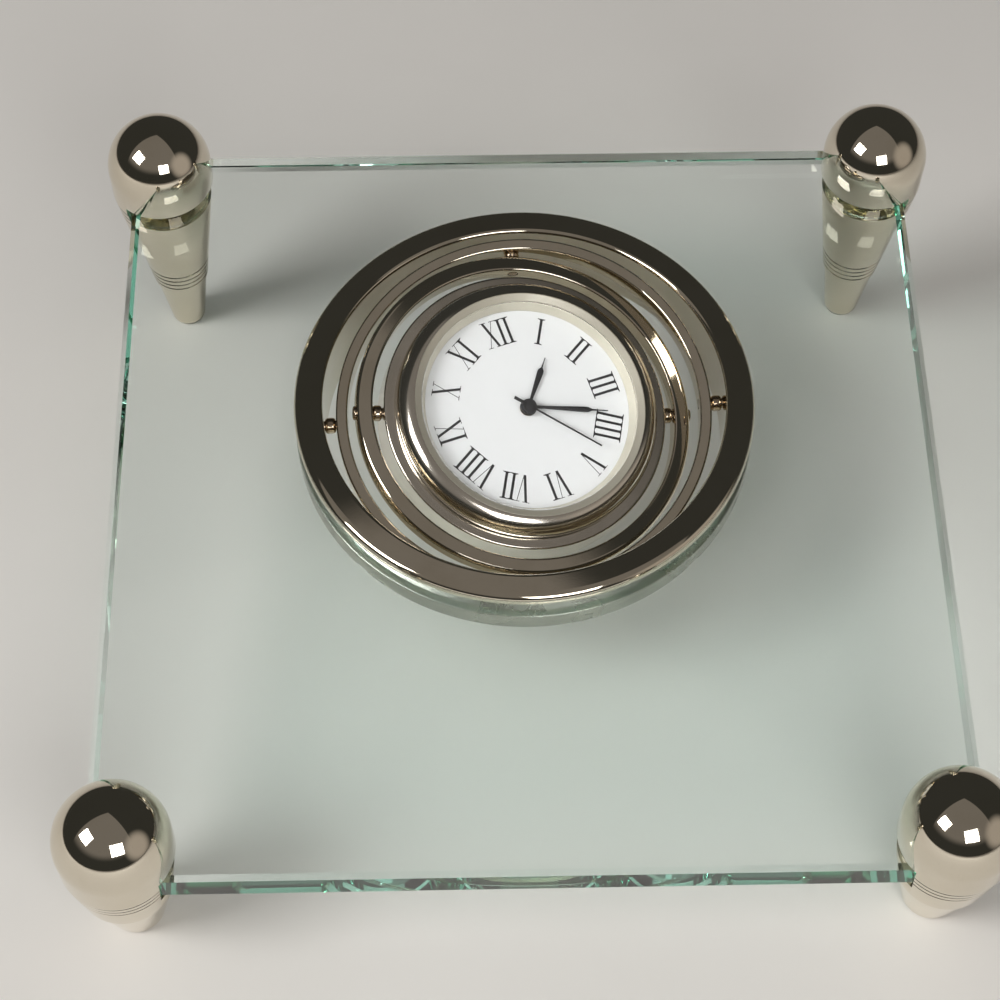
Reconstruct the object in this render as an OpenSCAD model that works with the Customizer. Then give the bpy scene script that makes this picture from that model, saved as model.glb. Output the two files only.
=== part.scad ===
// Gyroscope desk clock: a glass plate on four ball-topped posts holds a ring,
// and a small round clock turns inside it on two gimbal rings.
// The origin is on the table, under the middle of the plate, and +Y is the back.

/* [Glass plate] */
// Side of the square plate
plate_side = 127; // [112:1:160]
// Thickness of the glass
glass_t = 6.4; // [5:0.2:7.6]
// Height of the middle of the plate's top above the table
plate_rise = 32.4; // [32.2:0.2:44]
// Slope of the plate towards the front
plate_tilt = 8.8; // [7:0.1:9.6]
// Distance of the gimbal's centre behind the plate's centre
gimbal_back = 14.4; // [12:0.2:18]
// Width of the polished arris along the plate's edges
plate_arris = 0.5; // [0.2:0.1:1]

/* [Posts] */
// Diameter of the ball on top of a post
ball_d = 16.8; // [15:0.2:21]
// Height of the ball's centre above the glass
ball_rise = 3.7; // [2:0.1:6]
// Distance of a post's axis from the plate's edges
post_inset = 4.7; // [3.5:0.1:6]
// How far below the glass top the leg starts to taper
neck_drop = 1.2; // [0.5:0.1:3]
// Narrowing of the leg's radius for each millimetre below the neck
leg_taper = 0.134; // [0.12:0.001:0.138]
// Diameter of a front leg at its end
front_foot_d = 8.4; // [6:0.1:9]
// Diameter of a back leg at its end
back_foot_d = 5.8; // [5:0.1:6.4]
// Distance of the groove above the foot from the leg's end
foot_groove = 12.2; // [8:0.1:13]
// Step from the leg to the narrower foot below that groove
foot_step = 0.3; // [0.1:0.05:0.4]
// Distance of the slot's back wall from the post's axis, towards the plate's middle
slot_wall = 0.5; // [0:0.1:1.5]
// Air above the glass in the slot
slot_gap = 0.15; // [0.1:0.05:0.5]
// Thickness of the clear pad under the glass in the slot
slot_pad_t = 0.5; // [0.3:0.1:1]
// Gap between the plate's cut corner and the slot's back wall
corner_gap = 0.4; // [0.2:0.1:1]
// Number of fine grooves round a post beside the glass
groove_count = 3; // [1:1:4]
// Distance of the first fine groove below the neck
groove_drop = 0.6; // [0.4:0.1:1.5]
// Distance between fine grooves
groove_pitch = 1.5; // [1:0.1:1.6]
// Number of fine lines round a back leg above its foot
line_count = 4; // [1:1:5]
// Distance between these lines
line_pitch = 1.3; // [1:0.1:2]
// Depth of a groove
groove_depth = 0.2; // [0.1:0.05:0.3]
// Thickness of the pad under a foot
foot_pad_t = 1; // [0.8:0.1:2]
// Margin of a pad inside the edge that it sits on
pad_margin = 0.4; // [0.2:0.1:0.8]

/* [Outer ring] */
// Gap between the outer gimbal ring and the outer ring
ring_gap = 1.9; // [1.6:0.05:2.4]
// Width of the ring's flange beyond its sleeve
flange_w = 2.3; // [1.8:0.1:4]
// Rounding of the flange's outer edge
flange_round = 1.2; // [0.4:0.1:1.3]
// Height of the flange above the glass
ring_rise = 1.6; // [1:0.1:3]
// Height of the lock ring below the glass
ring_drop = 3.6; // [2:0.1:5]
// Wall of the sleeve that passes through the glass
sleeve_t = 2.2; // [1.5:0.1:2.6]
// Gap between the sleeve and the hole in the glass
hole_gap = 0.3; // [0.1:0.05:0.6]
// Gap between the sleeve and the lock ring's thread
thread_gap = 0.03; // [0.02:0.01:0.1]
// Edge break on the rings
edge_break = 0.3; // [0.1:0.05:0.4]

/* [Gimbal rings] */
// Gap between the inner and the outer gimbal ring
outer_gap = 0.9; // [0.8:0.05:1.1]
// Wall of the outer gimbal ring
outer_gimbal_t = 1.8; // [1.4:0.1:2]
// Height of the outer gimbal ring
outer_gimbal_h = 4.2; // [3.4:0.1:6]
// Gap between the clock's holder and the inner gimbal ring
inner_gap = 1.65; // [1.4:0.05:1.8]
// Wall of the inner gimbal ring
inner_gimbal_t = 2.55; // [2:0.05:2.7]
// Height of the inner gimbal ring
inner_gimbal_h = 3.2; // [2.8:0.1:4.4]
// Edge break on the outside of the inner gimbal ring
inner_gimbal_edge = 0.7; // [0.3:0.05:1]

/* [Pivot pins] */
// Diameter of a pivot pin
pin_d = 1.6; // [1:0.1:1.8]
// Diameter of the collar that spaces two rings
collar_d = 2.8; // [2.2:0.1:3.2]
// Diameter of the riveted pin head
head_d = 2.2; // [2:0.1:2.8]
// Height of the riveted pin head
head_h = 0.35; // [0.2:0.05:0.5]
// End play at each face of a collar
pin_play = 0.1; // [0.05:0.05:0.2]
// Radial clearance of a pin that turns in its hole
run_fit = 0.05; // [0.03:0.01:0.1]
// Radial clearance of a pin that is pressed into its hole
press_fit = 0.02; // [0.01:0.01:0.03]
// Depth of a pivot hole in the clock's holder
pivot_depth = 2.8; // [1.5:0.1:3.2]

/* [Resting angles] */
// Turn of the whole gimbal on the plate
gimbal_yaw = 3; // [-45:0.5:45]
// Tilt of the outer gimbal ring, back up
outer_tilt = 11.2; // [-90:0.1:90]
// Roll of the inner gimbal ring, left up
inner_roll = 10.6; // [-90:0.1:90]
// Tilt of the clock in the inner gimbal ring, back up
clock_tilt = 2.4; // [-90:0.1:90]
// Turn of the clock in its holder
dial_turn = 17.8; // [-60:0.1:60]
// Hour shown
shown_hour = 1; // [0:1:11]
// Minute shown
shown_minute = 18; // [0:1:59]
// Second shown
shown_second = 23; // [0:1:59]

/* [Clock holder] */
// Wall of the holder
holder_wall = 4.1; // [3.7:0.1:4.3]
// Height of the holder
holder_h = 7; // [5.5:0.1:8]
// Height of the holder's front face above the pivot axis
holder_front = 2; // [1.6:0.1:2.6]
// Diameter of the clock's case
case_d = 36.5; // [35.5:0.1:36.9]
// Gap between the case and the holder
case_gap = 0.25; // [0.15:0.05:0.4]
// Depth of the case behind the holder's front face
case_depth = 11; // [10.5:0.1:13]
// Wall of the case
case_wall = 1.2; // [0.8:0.1:1.4]
// Width of the rubber grip ring round the case
grip_w = 2.6; // [1.5:0.1:3.5]
// Depth of the grip ring's groove in the case
grip_depth = 0.6; // [0.3:0.05:0.7]

/* [Bezel and dial] */
// How far the bezel reaches beyond the case
bezel_over = 2.65; // [2:0.05:3.4]
// Height of the bezel above the holder
bezel_h = 3.6; // [3.4:0.1:4.4]
// Width of the rounded outer roll of the bezel
bezel_roll = 3; // [2:0.1:3.2]
// Width of the bezel's lip over the dial's edge
view_lip = 0.75; // [0.6:0.05:1.4]
// Width of the ledge that the crystal sits on
crystal_ledge = 0.9; // [0.6:0.05:1]
// Thickness of the crystal
crystal_t = 0.9; // [0.6:0.1:1]
// Thickness of the dial
dial_t = 0.4; // [0.3:0.05:0.6]
// Clearance round the dial and the plates in the case
dial_gap = 0.2; // [0.1:0.05:0.3]
// Clearance above and below flat pieces that don't touch
flat_gap = 0.05; // [0.03:0.01:0.1]

/* [Hands] */
// Length of the hour hand
hour_len = 8.9; // [7:0.1:10]
// Length of the minute hand
minute_len = 12.7; // [11:0.1:14]
// Length of the second hand
second_len = 12.9; // [11:0.1:15]
// Length of the second hand's tail
second_tail = 2.7; // [2:0.1:5]
// Widest part of the hour hand
hour_w = 1; // [0.8:0.05:1.4]
// Widest part of the minute hand
minute_w = 0.9; // [0.6:0.05:1.2]
// Width of the second hand
second_w = 0.28; // [0.2:0.02:0.5]
// Width of the second hand's tail
tail_w = 0.5; // [0.3:0.05:0.8]
// Thickness of a hand
hand_t = 0.2; // [0.15:0.05:0.25]
// Step in height from one hand to the next
hand_step = 0.45; // [0.4:0.05:0.5]

/* [Movement] */
// Thickness of the front plate
front_plate_t = 1.1; // [0.9:0.1:1.3]
// Thickness of the back plate
back_plate_t = 0.8; // [0.6:0.1:1]
// Thickness of a wheel
wheel_t = 0.4; // [0.3:0.05:0.5]
// Height of one layer of wheels
layer_h = 0.7; // [0.65:0.01:0.75]
// Diameter of a thin arbor
arbor_d = 0.6; // [0.5:0.05:0.7]
// Diameter of the setting arbor
setting_d = 0.8; // [0.7:0.05:1]
// Distance from the centre to the setting arbor
motion_centres = 6; // [5.9:0.05:6.4]
// Distance from the centre to the third and fifth arbors
train_centres = 5.7; // [5.6:0.05:5.9]
// Distance from the fifth arbor to the rotor
rotor_centres = 4; // [3.8:0.05:4.4]
// Diameter of the rotor magnet
rotor_d = 1.8; // [1.4:0.1:2]
// Diameter of the coil
coil_d = 3; // [2.4:0.1:3.4]
// Length of the coil
coil_len = 9; // [7:0.5:10]
// Diameter of the button cell
cell_d = 6.8; // [5.8:0.1:7.4]
// Thickness of the button cell
cell_t = 2.6; // [2:0.1:2.7]
// Diameter of the setting knob
knob_d = 6; // [5:0.1:7]
// Height of the setting knob
knob_h = 1.9; // [1.5:0.1:2.5]
// Number of ridges round the setting knob
knob_ridges = 24; // [16:1:36]

/* [Hidden] */
$fn = 96;

nickel = "#c4bcae";
satin_nickel = "#a9a496";
brass = "#c8a95a";
glass_green = "#bfd8cf";
eps = 0.01;

// Levels of the plate and the posts, from the plate's top
plate_under = -glass_t;
post_at = plate_side / 2 - post_inset;
ball_r = ball_d / 2;
neck_z = -neck_drop;
slot_floor = plate_under - slot_pad_t;
corner_at = post_at * sqrt(2) - slot_wall - corner_gap;
// Brings the middle of the tilted plate and its leaning posts over the origin
plate_shift = -0.1;
// Radius of the tapered leg at a level
function leg_r(z) = ball_r - leg_taper * max(neck_z - z, 0);
// Level of a leg's end, above its pad, for the row of posts at y
function leg_end(y) = foot_pad_t - plate_rise / cos(plate_tilt) - y * post_at * tan(plate_tilt);
function foot_r(y) = (y < 0 ? front_foot_d : back_foot_d) / 2;

// Radii of the rings, from the clock's case out to the glass
case_r = case_d / 2;
holder_ir = case_r + case_gap;
holder_or = holder_ir + holder_wall;
inner_gimbal_ir = holder_or + inner_gap;
inner_gimbal_or = inner_gimbal_ir + inner_gimbal_t;
outer_gimbal_ir = inner_gimbal_or + outer_gap;
outer_gimbal_or = outer_gimbal_ir + outer_gimbal_t;
ring_ir = outer_gimbal_or + ring_gap;
sleeve_or = ring_ir + sleeve_t;
ring_or = sleeve_or + flange_w;
hole_r = sleeve_or + hole_gap;
// The rounding stays within the flange's height
flange_r = min(flange_round, ring_rise - edge_break);
// The pivots lie at half the height of the outer ring
pivot_z = ring_rise - (ring_rise + glass_t + ring_drop) / 2;

// The clock's radii and its levels above the pivot axis
case_ir = case_r - case_wall;
case_back = holder_front - case_depth;
case_floor = case_back + case_wall;
grip_top = holder_front - holder_h / 2 + grip_w / 2;
view_r = case_ir - view_lip;
crystal_r = view_r + crystal_ledge;
bezel_r = case_r + bezel_over;
bezel_top = holder_front + bezel_h;
dial_r = case_ir - dial_gap;
dial_back = holder_front + 0.3;
dial_front = dial_back + dial_t;
lip_z = dial_front + flat_gap;
crystal_back = bezel_top - crystal_t - 0.3;
plate_back = dial_back - front_plate_t;
// Bottom of a layer of wheels, counted from the dial
function layer_z(n) = plate_back - n * layer_h;
back_plate_top = layer_z(6) - wheel_t;
back_plate_back = back_plate_top - back_plate_t;
back_plate_r = case_ir - 1;
ledge_w = 0.85;
ledge_h = 0.8;

// Radii on the centre arbor
arbor_r = arbor_d / 2;
second_r = arbor_r - 0.05;
minute_ir = second_r + run_fit;
minute_or = minute_ir + 0.4;
hour_ir = minute_or + run_fit;
hour_or = hour_ir + 0.4;
setting_r = setting_d / 2;
// Levels of the hands
hour_z = dial_front + 0.3;
minute_z = hour_z + hand_step;
second_z = minute_z + hand_step;
boss_r = 1.5;
pivot_end = 0.6;
// Angles of the hands, anticlockwise from XII
second_angle = -6 * shown_second;
minute_angle = -6 * (shown_minute + shown_second / 60);
hour_angle = -30 * (shown_hour + (shown_minute + shown_second / 60) / 60);

// Teeth of the wheels and pinions
cannon_teeth = 10;
setting_teeth = 30;
setting_pinion_teeth = 8;
hour_teeth = 32;
leaf_teeth = 6;
third_teeth = 45;
centre_teeth = 48;
seconds_teeth = 36;
fifth_teeth = 30;
// Places of the arbors round the centre
setting_dir = -90;
third_dir = 200;
fifth_dir = 60;
rotor_dir = 20;
function polar(r, a) = [r * cos(a), r * sin(a)];
setting_at = polar(motion_centres, setting_dir);
third_at = polar(train_centres, third_dir);
fifth_at = polar(train_centres, fifth_dir);
rotor_at = fifth_at + polar(rotor_centres, rotor_dir);
// The stator's arm leads from the rotor to the coil
coil_inset = 5.25;
coil_at = [back_plate_r - coil_inset, -1.5];
stator_t = 0.6;
stator_hole_r = rotor_d / 2 + 0.3;
stator_r = stator_hole_r + 1.2;
core_r = 0.5;
core_y = rotor_at[1];
stator_z = layer_z(3) - wheel_t - stator_t / 2;
stud_at = [(rotor_at[0] + stator_r + coil_at[0] + core_r) / 2, core_y];
// The button cell lies behind the back plate, over its hatch
cell_at = [-8, 4.5];
contact_t = 0.15;
cell_top = back_plate_back - contact_t;
hatch_r = cell_d / 2 + 0.8;
board_inset = 4.05;
board_at = [board_inset - back_plate_r, 2.5];
board_size = [6.5, 6, 0.6];
can_r = 0.75;
can_len = 5;
pillar_r = 1.2;
pillar_at = back_plate_r - 2;

// Puts a shape on the tilted plate, then at the pivot point, and turns it with the rings in turn
module on_plate() { translate([0, plate_shift, plate_rise]) rotate([plate_tilt, 0, 0]) children(); }
module at_pivot() { on_plate() translate([0, gimbal_back, pivot_z]) rotate([0, 0, gimbal_yaw]) children(); }
module on_outer_gimbal() { at_pivot() rotate([outer_tilt, 0, 0]) children(); }
module on_inner_gimbal() { on_outer_gimbal() rotate([0, inner_roll, 0]) children(); }
module on_clock() { on_inner_gimbal() rotate([clock_tilt, 0, 0]) children(); }
module on_dial() { on_clock() rotate([0, 0, dial_turn]) children(); }
module at_corner(x, y) { on_plate() translate([x * post_at, y * post_at, 0]) children(); }

// A ring of rectangular section with broken inner and outer edges, level with its middle
module plain_ring(or, ir, h, c = edge_break, o = edge_break) {
    rotate_extrude()
        polygon([[ir + c, -h / 2], [or - o, -h / 2], [or, o - h / 2], [or, h / 2 - o],
            [or - o, h / 2], [ir + c, h / 2], [ir, h / 2 - c], [ir, c - h / 2]]);
}

// A round bar along an axis in the level plane, from one radius to another
module radial_bar(r, from, to, angle = 0) {
    rotate([0, 0, angle])
        translate([from, 0, 0])
            rotate([0, 90, 0])
                cylinder(r = r, h = to - from);
}

// A pin along +X: pressed in a wall, with a collar in the gap and a spigot in the next wall
module pivot_pin(wall_ir, wall_or, next_or, reach, head) {
    radial_bar(pin_d / 2, next_or - reach, wall_or);
    radial_bar(collar_d / 2, next_or + pin_play, wall_ir - pin_play);
    if (head)
        radial_bar(head_d / 2, wall_or, wall_or + head_h);
}

// The space towards the plate's middle from a line square to the diagonal, in the corner x, y
module inward_block(x, y, from, z0, z1) {
    rotate([0, 0, atan2(-y, -x)])
        translate([from, -ball_d, z0])
            cube([2 * ball_d, 2 * ball_d, z1 - z0]);
}

// A sharp groove round a leg
module groove(z) {
    rotate_extrude()
        polygon([[leg_r(z) - groove_depth, z], [leg_r(z) + groove_depth, z - groove_depth],
            [leg_r(z) + groove_depth, z + groove_depth]]);
}

// A turned post with a ball on top, a slot for the plate's corner and a narrower foot
module post(x, y) {
    end_z = leg_end(y);
    step_z = end_z + foot_groove;
    at_corner(x, y)
        difference() {
            union() {
                translate([0, 0, end_z])
                    cylinder(r1 = foot_r(y), r2 = leg_r(step_z) - foot_step, h = foot_groove);
                translate([0, 0, step_z])
                    cylinder(r1 = leg_r(step_z), r2 = ball_r, h = neck_z - step_z);
                translate([0, 0, neck_z])
                    cylinder(r = ball_r, h = ball_rise - neck_z);
                translate([0, 0, ball_rise])
                    sphere(r = ball_r);
            }
            inward_block(x, y, slot_wall, slot_floor, slot_gap);
            for (i = [0:groove_count - 1])
                groove(neck_z - groove_drop - i * groove_pitch);
            if (y > 0)
                for (i = [1:line_count])
                    groove(step_z + i * line_pitch);
        }
}

// A wheel with straight-sided teeth, one of them centred on the given direction
module toothed(teeth, pitch_r, h, bore_r, dir) {
    m = 2 * pitch_r / teeth;
    tip_r = pitch_r + 0.7 * m;
    root_r = pitch_r - 1.15 * m;
    step = 360 / teeth;
    difference() {
        linear_extrude(h)
            polygon([for (i = [0:teeth - 1])
                for (c = [[root_r, -0.22], [tip_r, -0.08], [tip_r, 0.08], [root_r, 0.22]])
                    polar(c[0], dir + (i + c[1]) * step)]);
        if (bore_r > 0)
            translate([0, 0, -eps])
                cylinder(r = bore_r, h = h + 2 * eps);
    }
}

// A leaf-shaped hand along +Y with a thin tip and a round boss
module leaf_hand(len, width) {
    linear_extrude(hand_t)
        polygon([[-0.2, 0], [-width * 0.32, len * 0.35], [-width / 2, len * 0.7], [-0.14, len * 0.82],
            [-0.08, len], [0.08, len], [0.14, len * 0.82], [width / 2, len * 0.7], [width * 0.32, len * 0.35],
            [0.2, 0]]);
    cylinder(r = boss_r * 0.75, h = hand_t);
}

module glass_plate() {
    in_side = plate_side - 2 * plate_arris;
    color(glass_green, 0.5)
        on_plate()
            difference() {
                translate([0, 0, plate_under / 2])
                    intersection() {
                        union() {
                            cube([plate_side, plate_side, glass_t - 2 * plate_arris], center = true);
                            cube([in_side, in_side, glass_t], center = true);
                        }
                        rotate([0, 0, 45])
                            cube([2 * corner_at, 2 * corner_at, 2 * glass_t], center = true);
                    }
                translate([0, gimbal_back, plate_under - 1])
                    cylinder(r = hole_r, h = glass_t + 2);
            }
}

module post_front_left() { color(nickel) post(-1, -1); }
module post_front_right() { color(nickel) post(1, -1); }
module post_back_left() { color(nickel) post(-1, 1); }
module post_back_right() { color(nickel) post(1, 1); }

module slot_pads() {
    color("#e8ece8", 0.6)
        for (x = [-1, 1], y = [-1, 1])
            at_corner(x, y)
                intersection() {
                    translate([0, 0, slot_floor])
                        cylinder(r = leg_r(slot_floor) - pad_margin, h = slot_pad_t);
                    inward_block(x, y, slot_wall + corner_gap, slot_floor, plate_under);
                }
}

module foot_pads() {
    color("#d9d6cc")
        difference() {
            for (x = [-1, 1], y = [-1, 1])
                at_corner(x, y)
                    translate([0, 0, leg_end(y) - 2 * foot_pad_t])
                        cylinder(r = foot_r(y) - pad_margin, h = 2 * foot_pad_t);
            translate([-plate_side, -plate_side, -plate_side])
                cube([2 * plate_side, 2 * plate_side, plate_side]);
        }
}

module outer_ring() {
    c = edge_break;
    bottom = plate_under - ring_drop;
    top = ring_rise;
    color(nickel)
        difference() {
            on_plate()
                translate([0, gimbal_back, 0])
                    rotate_extrude()
                        polygon(concat(
                            [[ring_ir, bottom + c], [ring_ir + c, bottom], [sleeve_or - c, bottom],
                                [sleeve_or, bottom + c], [sleeve_or, 0], [ring_or, 0]],
                            [for (a = [0:15:90])
                                [ring_or - flange_r + flange_r * cos(a), top - flange_r + flange_r * sin(a)]],
                            [[ring_ir + 2 * c, top], [ring_ir, top - 2 * c]]));
            for (a = [0, 180])
                at_pivot()
                    radial_bar(pin_d / 2 + press_fit, ring_ir - 1, sleeve_or + 1, a);
        }
}

module lock_ring() {
    color(nickel)
        on_plate()
            translate([0, gimbal_back, plate_under - ring_drop / 2])
                plain_ring(ring_or, sleeve_or + thread_gap, ring_drop);
}

module outer_pin(angle) {
    at_pivot()
        rotate([0, 0, angle])
            pivot_pin(ring_ir, sleeve_or, outer_gimbal_or, outer_gimbal_t, false);
}
module outer_pin_left() { color(satin_nickel) outer_pin(180); }
module outer_pin_right() { color(satin_nickel) outer_pin(0); }

module outer_gimbal_ring() {
    color(nickel)
        on_outer_gimbal()
            difference() {
                plain_ring(outer_gimbal_or, outer_gimbal_ir, outer_gimbal_h);
                for (a = [0, 180])
                    radial_bar(pin_d / 2 + run_fit, outer_gimbal_ir - 1, outer_gimbal_or + 1, a);
                for (a = [90, 270])
                    radial_bar(pin_d / 2 + press_fit, outer_gimbal_ir - 1, outer_gimbal_or + 1, a);
            }
}

module inner_pin(angle) {
    on_outer_gimbal()
        rotate([0, 0, angle])
            pivot_pin(outer_gimbal_ir, outer_gimbal_or, inner_gimbal_or, inner_gimbal_t, true);
}
module inner_pin_front() { color(satin_nickel) inner_pin(270); }
module inner_pin_back() { color(satin_nickel) inner_pin(90); }

module inner_gimbal_ring() {
    color(nickel)
        on_inner_gimbal()
            difference() {
                plain_ring(inner_gimbal_or, inner_gimbal_ir, inner_gimbal_h, edge_break, inner_gimbal_edge);
                for (a = [90, 270])
                    radial_bar(pin_d / 2 + run_fit, inner_gimbal_ir - 1, inner_gimbal_or + 1, a);
                for (a = [0, 180])
                    radial_bar(pin_d / 2 + press_fit, inner_gimbal_ir - 1, inner_gimbal_or + 1, a);
            }
}

module clock_pin(angle) {
    on_inner_gimbal()
        rotate([0, 0, angle])
            pivot_pin(inner_gimbal_ir, inner_gimbal_or, holder_or, pivot_depth - pin_play, true);
}
module clock_pin_left() { color(satin_nickel) clock_pin(180); }
module clock_pin_right() { color(satin_nickel) clock_pin(0); }

module clock_holder() {
    color(nickel)
        on_clock()
            difference() {
                translate([0, 0, holder_front - holder_h / 2])
                    plain_ring(holder_or, holder_ir, holder_h);
                for (a = [0, 180])
                    radial_bar(pin_d / 2 + run_fit, holder_or - pivot_depth, holder_or + 1, a);
            }
}

module grip_ring() {
    color("#2b2b2b")
        on_dial()
            translate([0, 0, grip_top - grip_w / 2])
                plain_ring(holder_ir - press_fit, case_r - grip_depth + press_fit, grip_w - 2 * press_fit, 0.1, 0.1);
}

module case() {
    color("#d8d5cd")
        on_dial()
            difference() {
                union() {
                    rotate_extrude()
                        polygon([[0, case_back], [case_r - 0.5, case_back], [case_r, case_back + 0.5],
                            [case_r, grip_top - grip_w], [case_r - grip_depth, grip_top - grip_w],
                            [case_r - grip_depth, grip_top], [case_r, grip_top], [case_r, holder_front],
                            [case_ir, holder_front], [case_ir, case_floor], [0, case_floor]]);
                    translate([0, 0, plate_back - ledge_h])
                        difference() {
                            cylinder(r = case_ir + eps, h = ledge_h);
                            translate([0, 0, -1])
                                cylinder(r = case_ir - ledge_w, h = ledge_h + 2);
                        }
                }
                translate([setting_at[0], setting_at[1], case_back - 1])
                    cylinder(r = setting_r + run_fit, h = case_wall + 2);
                translate([cell_at[0], cell_at[1], case_back - 1])
                    cylinder(r = hatch_r + flat_gap, h = case_wall + 2);
            }
}

module bezel() {
    roll_at = bezel_r - bezel_roll;
    color(nickel)
        on_dial()
            rotate_extrude()
                polygon(concat(
                    [[case_ir, holder_front], [bezel_r - edge_break, holder_front]],
                    [for (a = [0:7.5:90])
                        [roll_at + bezel_roll * cos(a), bezel_top - bezel_roll + bezel_roll * sin(a)]],
                    [[crystal_r, crystal_back + crystal_t], [crystal_r, crystal_back], [view_r, crystal_back],
                        [view_r, lip_z], [case_ir, lip_z]]));
}

module crystal() {
    color("#e6eef0", 0.3)
        on_dial()
            translate([0, 0, crystal_back])
                cylinder(r = crystal_r - press_fit, h = crystal_t);
}

module dial() {
    color("#f4f3ef")
        on_dial()
            translate([0, 0, dial_back])
                difference() {
                    cylinder(r = dial_r, h = dial_t);
                    translate([0, 0, -1])
                        cylinder(r = hour_or + 2 * run_fit, h = dial_t + 2);
                }
}

module front_plate() {
    color("#e9e4d4")
        on_dial()
            difference() {
                union() {
                    translate([0, 0, plate_back])
                        cylinder(r = dial_r, h = front_plate_t);
                    for (a = [20, 120, 270])
                        translate([pillar_at * cos(a), pillar_at * sin(a), back_plate_top])
                            cylinder(r = pillar_r, h = plate_back + eps - back_plate_top);
                }
                translate([0, 0, plate_back - 1])
                    cylinder(r = hour_or + run_fit, h = front_plate_t + 2);
                for (p = [third_at, fifth_at, rotor_at])
                    translate([p[0], p[1], plate_back - 1])
                        cylinder(r = arbor_r + run_fit, h = front_plate_t + 2);
                translate([setting_at[0], setting_at[1], plate_back - 1])
                    cylinder(r = setting_r + run_fit, h = front_plate_t + 2);
            }
}

module back_plate() {
    color("#e9e4d4")
        on_dial()
            difference() {
                union() {
                    translate([0, 0, back_plate_back])
                        cylinder(r = back_plate_r, h = back_plate_t);
                    translate([stud_at[0], stud_at[1], back_plate_top - eps])
                        cylinder(r = core_r, h = stator_z - stator_t / 2 + eps - back_plate_top);
                }
                for (p = [[0, 0], third_at, fifth_at, rotor_at])
                    translate([p[0], p[1], back_plate_back - 1])
                        cylinder(r = (p == [0, 0] ? second_r : arbor_r) + run_fit, h = back_plate_t + 2);
                translate([setting_at[0], setting_at[1], back_plate_back - 1])
                    cylinder(r = setting_r + run_fit, h = back_plate_t + 2);
            }
}

module stator() {
    color("#8d8f92")
        on_dial()
            difference() {
                union() {
                    translate([rotor_at[0], rotor_at[1], stator_z - stator_t / 2])
                        cylinder(r = stator_r, h = stator_t);
                    translate([rotor_at[0], core_y - core_r * 1.5, stator_z - stator_t / 2])
                        cube([coil_at[0] + core_r - rotor_at[0], core_r * 3, stator_t]);
                    translate([coil_at[0], core_y, stator_z])
                        rotate([90, 0, 0])
                            cylinder(r = core_r, h = core_y - coil_at[1] + coil_len / 2 + 1);
                }
                translate([rotor_at[0], rotor_at[1], stator_z - stator_t])
                    cylinder(r = stator_hole_r, h = 2 * stator_t);
            }
}

module coil() {
    flange = 0.5;
    color("#b5652f")
        on_dial()
            translate([coil_at[0], coil_at[1] + coil_len / 2, stator_z])
                rotate([90, 0, 0])
                    difference() {
                        union() {
                            cylinder(r = coil_d / 2 - 0.25, h = coil_len);
                            for (z = [0, coil_len - flange])
                                translate([0, 0, z])
                                    cylinder(r = coil_d / 2, h = flange);
                        }
                        translate([0, 0, -1])
                            cylinder(r = core_r + press_fit, h = coil_len + 2);
                    }
}

module circuit_board() {
    color("#2f6b45")
        on_dial()
            translate([board_at[0], board_at[1], back_plate_top])
                cube(board_size);
}

module quartz_can() {
    color("silver")
        on_dial()
            translate([board_at[0] + 0.6, board_at[1] + board_size[1] - 1.6, back_plate_top + board_size[2] + can_r])
                rotate([0, 90, 0])
                    cylinder(r = can_r, h = can_len);
}

module cell() {
    color("silver")
        on_dial()
            translate([cell_at[0], cell_at[1], cell_top - cell_t])
                difference() {
                    cylinder(r = cell_d / 2, h = cell_t);
                    translate([0, 0, cell_t - 0.4])
                        difference() {
                            cylinder(r = cell_d, h = 1);
                            translate([0, 0, -1])
                                cylinder(r = cell_d / 2 - 0.7, h = 3);
                        }
                }
}

module cell_contact() {
    color("#c9b27a")
        on_dial()
            translate([cell_at[0] - 2.5, cell_at[1] - 1, cell_top])
                cube([5, 2, contact_t]);
}

module cell_hatch() {
    boss_h = cell_top - cell_t - case_floor;
    color("#d8d5cd")
        on_dial()
            translate([cell_at[0], cell_at[1], case_back])
                difference() {
                    union() {
                        cylinder(r = hatch_r, h = case_wall);
                        translate([0, 0, case_wall - eps])
                            cylinder(r = cell_d / 2 - 1, h = boss_h + eps);
                    }
                    translate([-hatch_r * 0.7, -0.5, -eps])
                        cube([hatch_r * 1.4, 1, 0.6]);
                }
}

module hour_wheel() {
    hour_pitch = motion_centres * hour_teeth / (hour_teeth + setting_pinion_teeth);
    color(brass)
        on_dial()
            difference() {
                union() {
                    translate([0, 0, layer_z(1)])
                        toothed(hour_teeth, hour_pitch, wheel_t, 0, setting_dir);
                    translate([0, 0, layer_z(1)])
                        cylinder(r = hour_or, h = hour_z + hand_t - layer_z(1));
                }
                translate([0, 0, layer_z(1) - 1])
                    cylinder(r = hour_ir, h = hour_z + 3 - layer_z(1));
            }
}

module hour_hand() {
    color("#15151a")
        on_dial()
            translate([0, 0, hour_z])
                rotate([0, 0, hour_angle])
                    difference() {
                        union() {
                            leaf_hand(hour_len, hour_w);
                            cylinder(r = boss_r, h = hand_t);
                        }
                        translate([0, 0, -1])
                            cylinder(r = hour_or + press_fit, h = 3);
                    }
}

module cannon_pinion() {
    cannon_pitch = motion_centres * cannon_teeth / (cannon_teeth + setting_teeth);
    bottom = layer_z(3) - flat_gap;
    color(brass)
        on_dial()
            difference() {
                union() {
                    translate([0, 0, layer_z(2)])
                        toothed(cannon_teeth, cannon_pitch, wheel_t, 0, setting_dir);
                    translate([0, 0, bottom])
                        cylinder(r = minute_or, h = minute_z + hand_t - bottom);
                }
                translate([0, 0, bottom - 1])
                    cylinder(r = minute_ir, h = minute_z + 3 - bottom);
            }
}

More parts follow.
